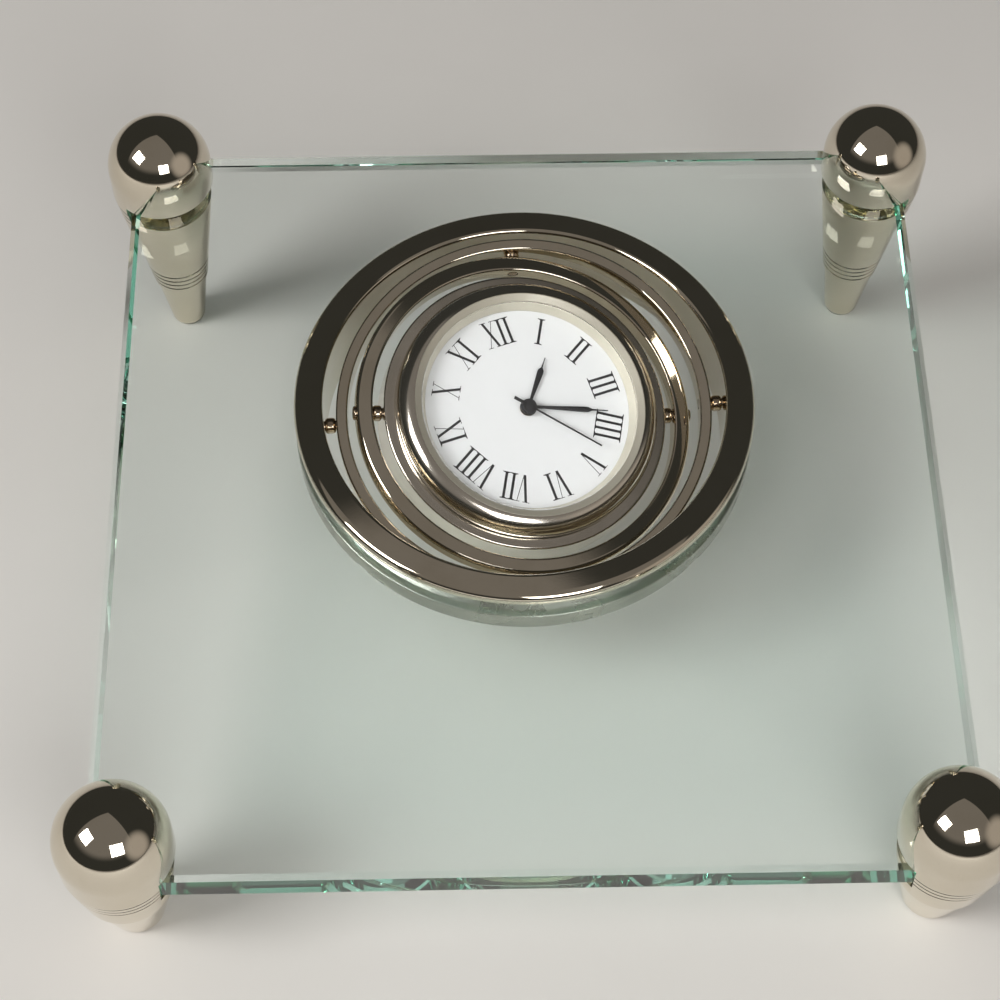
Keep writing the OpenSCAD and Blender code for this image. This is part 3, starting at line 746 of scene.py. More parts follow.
    @staticmethod
    def soften(obj: bpy.types.Object, width: float, angle: float, steps: int = 2) -> None:
        """Bevels every edge that is sharper than an angle.

        Args:
            obj: The object.
            width: The width of the bevel.
            angle: The angle in degrees.
            steps: The number of steps in the bevel.
        """
        change = obj.modifiers.new("soften", "BEVEL")
        change.width, change.segments = width, steps
        change.limit_method, change.angle_limit = "ANGLE", math.radians(angle)
        Bench.pick(obj)
        bpy.ops.object.modifier_apply(modifier=change.name)

    @staticmethod
    def twin(obj: bpy.types.Object, name: str) -> bpy.types.Object:
        """Copies an object with a mesh of its own.

        Args:
            obj: The object.
            name: The copy's name.

        Returns:
            The copy.
        """
        Bench.pick(obj)
        bpy.ops.object.duplicate(linked=False)
        copy = bpy.context.active_object
        copy.name = name
        return copy

    @staticmethod
    def settle(obj: bpy.types.Object, place: Matrix, angle: float = 32.0) -> bpy.types.Object:
        """Puts a piece in its place in metres, applies that place and smooths its gentle edges.

        Args:
            obj: The piece, in millimetres.
            place: Where it belongs.
            angle: Edges that are sharper than this stay sharp.

        Returns:
            The piece.
        """
        Bench.pick(obj)
        obj.matrix_world = Matrix.Scale(MM, 4) @ place @ obj.matrix_world
        bpy.ops.object.transform_apply(location=True, rotation=True, scale=True)
        bpy.ops.object.shade_smooth_by_angle(angle=math.radians(angle))
        obj.data.name = obj.name
        return obj


def enlist(piece: bpy.types.Object, body: str, finish: Finish, slot: str, *nodes: str) -> None:
    """Dresses a finished piece and ties it to the frame.

    Args:
        piece: The piece.
        body: The body that it rides on.
        finish: Its finish.
        slot: The record's material slot; not used.
        nodes: The nodes that it stands for.
    """
    piece.data.materials.clear()
    piece.data.materials.append(finish.material())
    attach(piece, body)
    if nodes:
        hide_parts(*nodes)
    LOG.info("%s: %d faces, rides on %s", piece.name, len(piece.data.polygons), body)


@dataclass
class GlassTop:
    """The square glass plate with cut corners and a round hole."""

    side: float = 127.0
    thick: float = 6.4
    corner_leg: float = 10.67
    hole_r: float = 33.9
    hole_back: float = 14.4
    arris: float = 0.8

    def build(self) -> bpy.types.Object:
        """Models the plate from a box.

        Returns:
            The plate in its place.
        """
        plate = Bench.block((self.side, self.side, self.thick), (0, 0, -self.thick / 2))
        plate.name = "glass_top"

        def upright(edge: bmesh.types.BMEdge) -> bool:
            """Tells whether an edge runs from the lower face to the upper one."""
            a, b = edge.verts
            return abs(a.co.z - b.co.z) > self.thick / 2

        Bench.bevel(plate, upright, self.corner_leg, segments=1, clamp=False)
        Bench.cut(plate, Bench.rods(self.hole_r, [shift(0, self.hole_back, 0)], depth=40.0, sides=160))
        Bench.soften(plate, self.arris, angle=60.0, steps=1)
        return Bench.settle(plate, REST.plate(), angle=25.0)

    def dress(self) -> None:
        """Builds the plate and gives it its glass."""
        enlist(self.build(), "stand", PLATE_GLASS, "plate_glass", "glass_plate")


@dataclass
class Posts:
    """The four turned posts with balls, slots, grooves, pads in the slots and pads under the feet."""

    at: float = 58.8
    ball_r: float = 8.4
    ball_rise: float = 3.7
    neck_z: float = -1.2
    taper: float = 0.134
    slot_wall: float = 0.5
    slot_floor: float = -6.9
    slot_roof: float = 0.15
    pad_from: float = 0.9
    pad_margin: float = 0.4
    foot_pad_t: float = 1.0
    foot_groove: float = 12.2
    foot_step: float = 0.3
    foot_r: Mapping[Row, float] = field(default_factory=lambda: {Row.FRONT: 4.2, Row.BACK: 2.9})
    fine_grooves: Sequence[float] = (-1.8, -3.3, -4.8)
    line_pitch: float = 1.3
    groove_depth: float = 0.2
    slot_edge: float = 0.16
    slot_cut: Point = (30.0, 40.0)
    pad_h: float = 0.49

    def leg_r(self, z: float) -> float:
        """Gives the radius of the taper at a level."""
        return self.ball_r - self.taper * max(self.neck_z - z, 0.0)

    def leg_end(self, row: Row) -> float:
        """Gives the level of a leg's end in its row."""
        tilt = math.radians(REST.plate_tilt)
        return self.foot_pad_t - REST.plate_rise / math.cos(tilt) - row.value * self.at * math.tan(tilt)

    def outline(self, row: Row) -> list[Point]:
        """Draws half of a post's section.

        Args:
            row: The row that the post stands in.

        Returns:
            The points from the top of the ball to the middle of the foot.
        """
        end = self.leg_end(row)
        step = end + self.foot_groove
        depth = self.groove_depth
        grooves = list(self.fine_grooves)
        if row is Row.BACK:
            grooves += [step + i * self.line_pitch for i in (4, 3, 2, 1)]
        corners = [Corner(self.ball_r, self.ball_rise - 0.001), Corner(self.ball_r, self.neck_z, 4.0)]
        for z in grooves:
            corners += [Corner(self.leg_r(z + depth), z + depth, 0.06), Corner(self.leg_r(z) - depth, z, 0.05),
                        Corner(self.leg_r(z - depth), z - depth, 0.06)]
        foot_top = self.leg_r(step) - self.foot_step
        corners += [Corner(self.leg_r(step), step, 0.12), Corner(foot_top - 0.15, step - 0.05, 0.05),
                    Corner(foot_top, step - 0.35, 0.1), Corner(self.foot_r[row], end, 0.35), Corner(0.0, end)]
        angles = [math.radians(degrees) for degrees in range(0, 90, 3)]
        ball = [(self.ball_r * math.sin(a), self.ball_rise + self.ball_r * math.cos(a)) for a in angles]
        return ball + section(corners, closed=False, arc=4, support=0.04)

    def build_post(self, row: Row) -> bpy.types.Object:
        """Turns one post and cuts its slot towards +X.

        Args:
            row: The row that the post stands in.

        Returns:
            The post about its own axis.
        """
        post = Bench.lathe(f"post_{row.name.lower()}", self.outline(row), steps=128, closed=False)
        (long, wide), height = self.slot_cut, self.slot_roof - self.slot_floor
        middle = (self.slot_wall + long / 2, 0, self.slot_floor + height / 2)
        Bench.cut(post, Bench.block((long, wide, height), middle))

        def at_mouth(edge: bmesh.types.BMEdge) -> bool:
            """Tells whether an edge runs round the slot's mouth.

            Args:
                edge: An edge of the post.

            Returns:
                Whether it lies on the slot's floor or roof, away from its wall.
            """
            if any(v.co.x < self.slot_wall + HAIRLINE for v in edge.verts):
                return False
            return any(all(abs(v.co.z - level) < 0.002 for v in edge.verts)
                       for level in (self.slot_floor, self.slot_roof))

        Bench.bevel(post, at_mouth, self.slot_edge, segments=2, clamp=True)
        return post

    def build_slot_pad(self) -> bpy.types.Object:
        """Models the clear pad under the glass in a slot that opens towards +X.

        Returns:
            The pad about its post's axis.
        """
        r = self.leg_r(self.slot_floor) - self.pad_margin
        low, top = self.slot_floor + HAIRLINE, self.slot_floor + self.pad_h
        pad = Bench.turned("slot_pad", disc(r, low, top, 0.12, 0.12), closed=False, steps=96, arc=3)
        Bench.trim(pad, (self.pad_from, 0, 0), (1, 0, 0), threshold=0.0001)
        return pad

    def build_foot_pad(self, row: Row) -> bpy.types.Object:
        """Models the soft pad under a foot, before the table cuts it level.

        Args:
            row: The row that the post stands in.

        Returns:
            The pad about its post's axis.
        """
        end, r = self.leg_end(row), self.foot_r[row] - self.pad_margin
        top, low = end - 0.005, end - 2 * self.foot_pad_t
        return Bench.turned("foot_pad", disc(r, low, top, 0.12), closed=False, steps=64, arc=4)

    def dress(self) -> None:
        """Builds the posts and their pads, and sets one of each at every corner."""
        slot_pads, foot_pads = [], []
        for row in Row:
            post, slot_pad, foot_pad = self.build_post(row), self.build_slot_pad(), self.build_foot_pad(row)
            for side in Side:
                name = f"{row.name.lower()}_{side.name.lower()}"
                opening = math.degrees(math.atan2(-row.value, -side.value))
                place = REST.plate() @ shift(side.value * self.at, row.value * self.at, 0) @ turn(opening, "Z")
                copy = Bench.settle(Bench.twin(post, f"turned_post_{name}"), place, angle=25.0)
                enlist(copy, "stand", MIRROR_NICKEL, "polished_nickel", f"post_{name}")
                slot_pads.append(Bench.settle(Bench.twin(slot_pad, f"pad_{name}"), place))
                pad = Bench.settle(Bench.twin(foot_pad, f"foot_{name}"), place)
                Bench.trim(pad, (0, 0, TABLE_LEVEL), (0, 0, 1), threshold=0.000001)
                foot_pads.append(pad)
            for master in (post, slot_pad, foot_pad):
                bpy.data.objects.remove(master, do_unlink=True)
        for pads, name, finish, slot in ((slot_pads, "slot_pads", CLEAR_PAD, "clear_pad"),
                                         (foot_pads, "foot_pads", FOOT_PAD, "foot_pad")):
            whole = Bench.join(*pads)
            whole.name = f"soft_{name}"
            enlist(whole, "stand", finish, slot, name)


@dataclass
class Pin:
    """A pivot pin along +X: pressed in one wall, with a collar in the gap and a spigot in the next wall."""

    start: float
    collar_from: float
    collar_to: float
    end: float
    head: bool
    pin_r: float = 0.8
    collar_r: float = 1.25
    head_r: float = 1.1
    head_h: float = 0.35

    def build(self, name: str) -> bpy.types.Object:
        """Turns the pin.

        Args:
            name: The piece's name.

        Returns:
            The pin along its own Z axis.
        """
        barrel = min(0.5, (self.collar_to - self.collar_from) / 2 - 0.03)
        corners = [Corner(0, self.start), Corner(self.pin_r, self.start, 0.2), Corner(self.pin_r, self.collar_from),
                   Corner(self.collar_r, self.collar_from, barrel), Corner(self.collar_r, self.collar_to, barrel),
                   Corner(self.pin_r, self.collar_to)]
        if self.head:
            corners += [Corner(self.pin_r, self.end), Corner(self.head_r, self.end + HAIRLINE, 0.02),
                        Corner(self.head_r, self.end + self.head_h, 0.22), Corner(0, self.end + self.head_h)]
        else:
            corners += [Corner(self.pin_r, self.end, 0.2), Corner(0, self.end)]
        return Bench.turned(name, corners, closed=False, steps=48, arc=5, support=0.03)

    def dress(self, name: str, place: Matrix, angle: float, body: str) -> None:
        """Builds the pin and sets it at an angle round the pivot point.

        Args:
            name: The node that the pin stands for.
            place: The frame of the wall that holds it.
            angle: Its direction in degrees.
            body: The body that it rides on.
        """
        pin = Bench.settle(self.build(f"turned_{name}"), place @ turn(angle, "Z") @ turn(90, "Y"))
        enlist(pin, body, PIN_NICKEL, "satin_nickel", name)


@dataclass
class OuterRing:
    """The ring through the glass, its lock ring below and the two pins that carry the gimbal."""

    inner_r: float = 31.4
    outer_r: float = 35.9
    sleeve_r: float = 33.6
    rise: float = 1.6
    glass: float = 6.4
    drop: float = 3.6
    thread_gap: float = 0.03
    press_fit: float = 0.02
    drill: float = 6.0
    notch: Triple = (2.0, 2.4, 1.6)
    pin: Pin = field(default_factory=lambda: Pin(
        start=27.7, collar_from=29.6, collar_to=31.3, end=33.6, head=False))

    def build_ring(self) -> bpy.types.Object:
        """Turns the flanged ring and drills its pin holes.

        Returns:
            The piece in its place.
        """
        low = -self.glass - self.drop
        corners = [Corner(self.inner_r, low, 0.3), Corner(self.sleeve_r, low, 0.3), Corner(self.sleeve_r, 0.02),
                   Corner(self.outer_r, 0.02, 0.12), Corner(self.outer_r, self.rise, 1.2),
                   Corner(self.inner_r, self.rise, 0.6)]
        ring = Bench.turned("flanged_ring", corners, arc=8)
        place = REST.plate() @ shift(0, REST.gimbal_back, 0)
        middle = (self.inner_r + self.sleeve_r) / 2
        Bench.drill(ring, self.pin.pin_r + self.press_fit, middle, self.drill, axis=place.inverted() @ REST.pivot())
        return Bench.settle(ring, place)

    def build_lock(self) -> bpy.types.Object:
        """Turns the lock ring and cuts four spanner notches in its lower face.

        Returns:
            The piece in its place.
        """
        inner, top, low = self.sleeve_r + self.thread_gap, -self.glass - 0.02, -self.glass - self.drop
        corners = band(inner, self.outer_r, low, top, (0.3, 0.4, 0.25, 0.2))
        ring = Bench.turned("lock_nut", corners, steps=160, arc=5)
        for a in range(45, 360, 90):
            notch = Bench.block(self.notch, (0, 0, 0))
            notch.matrix_world = turn(a, "Z") @ shift(self.outer_r, 0, low)
            Bench.cut(ring, notch)
        return Bench.settle(ring, REST.plate() @ shift(0, REST.gimbal_back, 0))

    def dress(self) -> None:
        """Builds both rings and the pins."""
        enlist(self.build_ring(), "stand", MIRROR_NICKEL, "polished_nickel", "outer_ring")
        enlist(self.build_lock(), "stand", DULL_NICKEL, "polished_nickel", "lock_ring")
        self.pin.dress("outer_pin_left", REST.pivot(), 180, "stand")
        self.pin.dress("outer_pin_right", REST.pivot(), 0, "stand")


@dataclass
class GimbalRing:
    """A plain ring with two running holes, two pressed pins and softly broken edges."""

    name: str
    body: str
    place: Matrix
    outer_r: float
    inner_r: float
    height: float
    running_angle: float
    pin: Pin
    pins: Mapping[str, float]
    edge: float = 0.32
    outer_edge: float = 0.32
    running_fit: float = 0.05
    press_fit: float = 0.02
    drill: float = 4.0

    def build(self) -> bpy.types.Object:
        """Turns the ring and drills its four holes.

        Returns:
            The ring in its place.
        """
        half = self.height / 2
        roundings = (self.edge, self.outer_edge, self.outer_edge, self.edge)
        ring = Bench.turned(f"turned_{self.name}", band(self.inner_r, self.outer_r, -half, half, roundings))
        middle = (self.outer_r + self.inner_r) / 2
        for angle, fit in ((self.running_angle, self.running_fit), (self.running_angle + 90, self.press_fit)):
            Bench.drill(ring, self.pin.pin_r + fit, middle, self.drill, angle)
        return Bench.settle(ring, self.place)

    def dress(self) -> None:
        """Builds the ring and its pins."""
        enlist(self.build(), self.body, MIRROR_NICKEL, "polished_nickel", self.name)
        for node, angle in self.pins.items():
            self.pin.dress(node, self.place, angle, self.body)


@dataclass
class ClockCase:
    """The holder, the case with its hatch, the bezel with its sight ring, and the crystal."""

    holder_r: float = 22.6
    holder_ir: float = 18.5
    front: float = 2.0
    holder_h: float = 7.0
    case_r: float = 18.25
    case_ir: float = 17.05
    back: float = -9.0
    grip_depth: float = 0.6
    grip_top: float = -0.2
    grip_w: float = 2.6
    bezel_r: float = 20.9
    roll: float = 3.0
    bezel_top: float = 5.6
    view_r: float = 16.3
    crystal_r: float = 17.2
    crystal_back: float = 4.4
    crystal_t: float = 0.9
    dome: float = 0.32
    lip: float = 2.75
    sight_r: float = 17.6
    sight_seat: float = 5.0
    roll_sweep: float = 81.0
    hatch_at: Point = (-8.0, 4.5)
    hatch_r: float = 4.2
    knob_at: Point = (0.0, -6.0)
    arbor_r: float = 0.45
    pivot_at: float = 22.3
    pivot_r: float = 0.85
    pivot_drill: float = 5.0
    floor_t: float = 1.2
    back_groove: Sequence[float] = (15.6, 15.8, 16.2, 16.4)
    back_groove_depth: float = 0.25
    hatch_boss: Point = (2.4, -6.75)
    coin_slot: Triple = (5.9, 1.0, 1.2)
    fit: float = 0.02

    @property
    def roll_from(self) -> float:
        """Gives the radius where the bezel's roll begins."""
        return self.bezel_r - self.roll + self.roll * math.cos(math.radians(self.roll_sweep))

    def build_holder(self) -> bpy.types.Object:
        """Turns the holder and drills its two blind pivot holes.

        Returns:
            The piece in its place.
        """
        low = self.front - self.holder_h
        corners = band(self.holder_ir, self.holder_r, low, self.front, (0.3, 0.35, 0.35, 0.2))
        holder = Bench.turned("turned_holder", corners)
        Bench.drill(holder, self.pivot_r, self.pivot_at, self.pivot_drill)
        return Bench.settle(holder, REST.clock())

    def build_case(self) -> bpy.types.Object:
        """Turns the case, with a groove in its back, and opens it for the hatch and the setting arbor.

        Returns:
            The piece in its place.
        """
        floor, top = self.back + self.floor_t, self.front - HAIRLINE
        grip_low, grip_r = self.grip_top - self.grip_w, self.case_r - self.grip_depth
        groove_floor = self.back + self.back_groove_depth
        levels = (self.back, groove_floor, groove_floor, self.back)
        corners = [Corner(0, self.back), *[Corner(r, z, 0.1) for r, z in zip(self.back_groove, levels)],
                   Corner(self.case_r - 0.1, self.back, 0.5), Corner(self.case_r, grip_low, 0.1),
                   Corner(grip_r, grip_low), Corner(grip_r, self.grip_top),
                   Corner(self.case_r, self.grip_top, 0.1), Corner(self.case_r, top),
                   Corner(self.case_ir, top), Corner(self.case_ir, floor), Corner(0, floor)]
        case = Bench.turned("moulded_case", corners, closed=False, steps=DISC_STEPS, arc=5)
        Bench.cut(case, Bench.rods(self.hatch_r + 0.05, [shift(*self.hatch_at, self.back)], depth=6.0, sides=72))
        Bench.cut(case, Bench.rods(self.arbor_r, [shift(*self.knob_at, self.back)], depth=6.0))
        return Bench.settle(case, REST.dial())

    def build_hatch(self) -> bpy.types.Object:
        """Turns the hatch over the cell and cuts its coin slot.

        Returns:
            The piece in its place.
        """
        floor = self.back + self.floor_t
        boss_r, boss_top = self.hatch_boss
        corners = [Corner(0, self.back), Corner(self.hatch_r, self.back, 0.15), Corner(self.hatch_r, floor, 0.1),
                   Corner(boss_r, floor), Corner(boss_r, boss_top), Corner(0, boss_top)]
        hatch = Bench.turned("cell_cover", corners, closed=False, steps=72, arc=4)
        Bench.cut(hatch, Bench.block(self.coin_slot, (0, 0, self.back)))
        hatch.matrix_world = shift(*self.hatch_at, 0)
        return Bench.settle(hatch, REST.dial())

    def build_bezel(self) -> bpy.types.Object:
        """Turns the rolled bezel with the seat of its sight ring.

        Returns:
            The piece in its place.
        """
        middle = Vector((self.bezel_r - self.roll, self.bezel_top - self.roll))
        roll = [tuple(middle + self.roll * Vector((math.cos(a), math.sin(a))))
                for a in (math.radians(d) for d in [*range(0, 80, 5), self.roll_sweep])]
        low = self.front + HAIRLINE
        corners = [Corner(self.case_ir, low), Corner(self.bezel_r - 0.25, low, 0.1), Corner(*roll[0])]
        outside = section(corners, closed=False, arc=4)
        inside = [(self.roll_from, roll[-1][1] - 0.04), (self.roll_from, self.sight_seat),
                  (self.sight_r, self.sight_seat), (self.sight_r, self.lip), (self.case_ir, self.lip)]
        bezel = Bench.lathe("rolled_bezel", outside[:-1] + roll + inside, RING_STEPS, closed=True)
        return Bench.settle(bezel, REST.dial())

    def build_sight_ring(self) -> bpy.types.Object:
        """Turns the sloping ring inside the bezel, with the step that holds the crystal.

        Returns:
            The piece in its place.
        """
        low, shelf, seat = self.lip + self.fit, self.crystal_back - self.fit, self.sight_seat + self.fit
        rim, top = self.crystal_back + self.crystal_t - self.dome, self.bezel_top - 0.07
        middle, outer, inner = self.sight_r - self.fit, self.roll_from - self.fit, self.crystal_r + self.fit
        corners = [Corner(self.view_r, low), Corner(middle, low), Corner(middle, seat), Corner(outer, seat),
                   Corner(outer, top, 0.06), Corner(inner, rim + 0.03, 0.05), Corner(inner, shelf),
                   Corner(self.crystal_r - 0.1, shelf, 0.05), Corner(self.view_r, low + 0.2, 0.05)]
        ring = Bench.turned("sight_ring", corners, arc=4, support=0.03)
        return Bench.settle(ring, REST.dial())

    def build_crystal(self) -> bpy.types.Object:
        """Turns the crystal, a little domed on top.

        Returns:
            The piece in its place.
        """
        r, low = self.crystal_r - self.fit, self.crystal_back
        rim = low + self.crystal_t - self.dome
        dome = [(r * k / 16, rim + self.dome * (1 - (k / 16) ** 2)) for k in range(16)]
        corners = [Corner(r * 15.5 / 16, rim + self.dome * 0.06), Corner(r, rim, 0.1), Corner(r, low, 0.1),
                   Corner(0, low)]
        outline = dome + section(corners, closed=False, arc=4)
        crystal = Bench.lathe("domed_crystal", outline, DISC_STEPS, closed=False)
        return Bench.settle(crystal, REST.dial())

    def dress(self) -> None:
        """Builds the pieces and gives them their finishes."""
        enlist(self.build_holder(), "clock", SOFT_NICKEL, "polished_nickel", "clock_holder")
        enlist(self.build_case(), "clock", CASE_PLASTIC, "case_plastic", "case")
        enlist(self.build_hatch(), "clock", CASE_PLASTIC, "case_plastic", "cell_hatch")
        enlist(self.build_bezel(), "clock", SOFT_NICKEL, "polished_nickel", "bezel")
        enlist(self.build_sight_ring(), "clock", SIGHT_SILVER, "satin_nickel")
        enlist(self.build_crystal(), "clock", CRYSTAL_GLASS, "clear_crystal", "crystal")


@dataclass
class DialFace:
    """The white dial and its Roman numerals, which stand with their feet towards the middle."""

    dial_r: float = 16.85
    hole_r: float = 1.25
    back: float = 2.3
    front: float = 2.7
    foot_at: float = 10.9
    height: float = 4.4
    print_t: float = 0.02
    stroke: float = 0.21
    hair: float = 0.05
    serif: float = 0.62
    serif_t: float = 0.1
    flare: float = 0.24
    lean: float = 0.75
    thin_lean: float = 0.72
    v_feet: Point = (0.05, 0.15)
    v_serifs: Point = (0.56, 0.42)
    x_serifs: Point = (0.54, 0.4)

    def build_dial(self) -> bpy.types.Object:
        """Turns the dial."""
        corners = band(self.hole_r, self.dial_r, self.back, self.front, (0.0, 0.05, 0.08, 0.05))
        return Bench.settle(Bench.turned("painted_dial", corners, steps=DISC_STEPS, arc=3), REST.dial())

    def letter(self, glyph: Glyph) -> list[list[Point]]:
        """Draws a letter from its strokes.

        Args:
            glyph: The letter.

        Returns:
            The outline of each stroke, about the middle of the letter's foot.
        """
        h, w, t, s = self.height, self.stroke, self.serif_t, self.serif
        thin, f, a = self.hair, self.flare, self.lean

        def serif(x: float, y: float, half: float) -> list[Point]:
            """Draws a serif bar about a point of the top or foot line."""
            away = -t if y > 0 else t
            return [(x - half, y), (x + half, y), (x + half, y + away), (x - half, y + away)]

        def leg(top: float, foot: float, half: float) -> list[Point]:
            """Draws a straight leg from the top line to the foot line."""
            return [(foot - half, 0), (foot + half, 0), (top + half, h), (top - half, h)]

        if glyph is Glyph.I:
            return [[(-s, 0), (s, 0), (s, t), (w, f), (w, h - f), (s, h - t), (s, h), (-s, h), (-s, h - t),
                     (-w, h - f), (-w, f), (-s, t)]]
        if glyph is Glyph.V:
            b, (foot, thin_foot), (long, short) = self.thin_lean, self.v_feet, self.v_serifs
            return [leg(-a, foot, w), leg(b, thin_foot, thin), serif(-a, h, long), serif(b, h, short)]
        long, short = self.x_serifs
        return [leg(-a, a, w), leg(a, -a, thin), serif(-a, h, long), serif(a, h, short),
                serif(a, 0, long), serif(-a, 0, short)]

    def build_numerals(self) -> bpy.types.Object:
        """Models each letter once and sets its copies round the dial.

        Returns:
            All numerals as one thin printed piece.
        """
        masters = {glyph: Bench.join(*[Bench.slab(f"letter_{glyph.name}", line, self.front, self.print_t)
                                       for line in self.letter(glyph)]) for glyph in Glyph}
        words = ["I", "II", "III", "IIII", "V", "VI", "VII", "VIII", "IX", "X", "XI", "XII"]
        letters = []
        for hour, word in enumerate(words, 1):
            along = -sum(Glyph[c].value for c in word) / 2
            for c in word:
                room = Glyph[c].value
                copy = Bench.twin(masters[Glyph[c]], f"numeral_{hour}")
                copy.matrix_world = turn(-DEG_PER_HOUR * hour, "Z") @ shift(along + room / 2, self.foot_at, 0)
                letters.append(copy)
                along += room
        for master in masters.values():
            bpy.data.objects.remove(master, do_unlink=True)
        numerals = Bench.join(*letters)
        numerals.name = "printed_numerals"
        return Bench.settle(numerals, REST.dial())

    def dress(self) -> None:
        """Builds the dial and the numerals."""
        enlist(self.build_dial(), "clock", DIAL_WHITE, "white_dial", "dial")
        enlist(self.build_numerals(), "clock", PRINT_BLACK, "black_hands")


@dataclass
class Hands:
    """The black hour, minute and second hands."""

    thick: float = 0.2
    hour_z: float = 3.0
    step: float = 0.45
    hour: int = 1
    minute: int = 18
    second: int = 23
    cap_r: float = 0.62
    cap_h: float = 0.1
    edge: float = 0.035
    sharp: float = 40.0
    root: Point = (0.25, 0.1)
    stem: Point = (0.24, 0.2)
    belly: Sequence[Point] = ((0.33, 0.36), (0.42, 0.54), (0.5, 0.7), (0.46, 0.745))
    tip: Sequence[Point] = ((0.13, 0.8), (0.08, 0.9), (0.06, 1.0))
    needle: Sequence[Point] = ((0.14, 0.3), (0.11, 12.9), (-0.11, 12.9), (-0.14, 0.3))
    tail: Sequence[Point] = ((0.25, -2.7), (0.25, -0.3), (-0.25, -0.3), (-0.25, -2.7))

    def leaf(self, name: str, length: float, width: float, boss_r: float, hole_r: float) -> bpy.types.Object:
        """Models a leaf-shaped hand along +Y with a round boss.

        Args:
            name: The piece's name.
            length: Its length from the middle.
            width: Its greatest width.
            boss_r: The boss's radius.
            hole_r: The radius of the hole in the boss.

        Returns:
            The hand, flat on its own level.
        """
        right = [(self.root[0], hole_r + self.root[1]), (self.stem[0], length * self.stem[1])]
        right += [(width * w, length * y) for w, y in self.belly] + [(x, length * y) for x, y in self.tip]
        left = [(-x, y) for x, y in reversed(right)]
        blade = Bench.slab(name, right + left, 0.0, self.thick)
        return self.with_boss(blade, boss_r, hole_r)

    def with_boss(self, blade: bpy.types.Object, boss_r: float, hole_r: float) -> bpy.types.Object:
        """Softens a blade and joins a turned boss to it.

        Args:
            blade: The blade.
            boss_r: The boss's radius.
            hole_r: The radius of the hole in the boss.

        Returns:
            The hand, flat on its own level.
        """
        Bench.soften(blade, self.edge, self.sharp)
        corners = band(hole_r, boss_r, 0.0, self.thick, (0.0, 0.03, 0.06, 0.03))
        boss = Bench.turned("boss", corners, steps=64, arc=3, support=0.02)
        return Bench.join(blade, boss)

    def dress(self) -> None:
        """Builds the three hands at the shown time."""
        minutes = self.minute + self.second / 60
        hour_hand = self.leaf("leaf_hour_hand", length=8.9, width=1.0, boss_r=1.34, hole_r=1.17)
        minute_hand = self.leaf("leaf_minute_hand", length=12.7, width=0.9, boss_r=1.25, hole_r=0.72)
        places = [("hour", hour_hand, -DEG_PER_HOUR * (self.hour + minutes / 60), 0),
                  ("minute", minute_hand, -DEG_PER_MINUTE * minutes, 1)]
        needle = Bench.slab("needle_second_hand", self.needle, 0.0, self.thick)
        tail = Bench.slab("tail", self.tail, 0.0, self.thick)
        Bench.soften(tail, self.edge, self.sharp)
        needle = self.with_boss(needle, boss_r=1.14, hole_r=0.27)
        corners = disc(self.cap_r, self.thick - HAIRLINE, self.thick + self.cap_h, 0.05)
        cap = Bench.turned("cap", corners, closed=False, steps=48, arc=3, support=0.02)
        places.append(("second", Bench.join(needle, tail, cap), -DEG_PER_MINUTE * self.second, 2))
        for body, hand, angle, level in places:
            hand.matrix_world = turn(angle, "Z") @ shift(0, 0, self.hour_z + level * self.step)
            Bench.settle(hand, REST.dial())
            enlist(hand, body, HAND_BLACK, "black_hands", f"{body}_hand")


@dataclass
class SettingKnob:
    """The ridged knob behind the case that sets the hands."""

    at: Point = (0.0, -6.0)
    radius: float = 3.0
    ridge: float = 0.12
    ridges: int = 24
    top: float = -9.05
    height: float = 1.9
    bore: float = 0.42
    rim: float = 0.35
    dish: float = 0.3
    dish_depth: float = 0.25
    edge: float = 0.06

    def build(self) -> bpy.types.Object:
        """Models the knob from a ridged outline.

        Returns:
            The knob in its place.
        """
        outline = []
        for i in range(2 * self.ridges):
            r, a = self.radius - (i % 2) * self.ridge, math.pi * i / self.ridges
            outline.append((r * math.cos(a), r * math.sin(a)))
        knob = Bench.slab("ridged_knob", outline, self.top - self.height, self.height)
        bpy.ops.object.mode_set(mode="EDIT")
        net = bmesh.from_edit_mesh(knob.data)
        for face in net.faces:
            face.select = face.normal.z < -0.9
        net.select_flush_mode()
        bmesh.update_edit_mesh(knob.data)
        bpy.ops.mesh.inset(thickness=self.rim, depth=0.0)
        bpy.ops.mesh.inset(thickness=self.dish, depth=-self.dish_depth)
        bpy.ops.object.mode_set(mode="OBJECT")
        Bench.cut(knob, Bench.rods(self.bore, [shift(0, 0, self.top)], depth=8.0))
        Bench.soften(knob, self.edge, angle=60.0)
        knob.matrix_world = shift(*self.at, 0)
        return Bench.settle(knob, REST.dial(), angle=20.0)

    def dress(self) -> None:
        """Builds the knob."""
        enlist(self.build(), "setting", KNOB_PLASTIC, "knob_plastic", "setting_knob")


@dataclass
class Movement:
    """The sealed movement and the grip ring, which keep their own solids and get finishes."""

    finishes: Mapping[str, Finish] = field(default_factory=lambda: {
        "grip_ring": RUBBER, "front_plate": FRAME_PLASTIC, "back_plate": FRAME_PLASTIC, "stator": STEEL,
        "coil": COPPER, "circuit_board": BOARD_GREEN, "quartz_can": CAN_STEEL, "cell": CAN_STEEL,
        "cell_contact": BRASS, "hour_wheel": BRASS, "cannon_pinion": BRASS, "seconds_wheel": TRAIN_PLASTIC,
        "setting_wheel": TRAIN_PLASTIC, "third_wheel": TRAIN_PLASTIC, "centre_wheel": BRASS,
        "fifth_wheel": TRAIN_PLASTIC, "rotor": STEEL})

    def dress(self) -> None:
        """Gives each node its finish."""
        for name, finish in self.finishes.items():
            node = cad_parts[name]
            node.data.materials.clear()
            node.data.materials.append(finish.material())
            LOG.info("%s: keeps its solid, finish %s", name, finish.name)


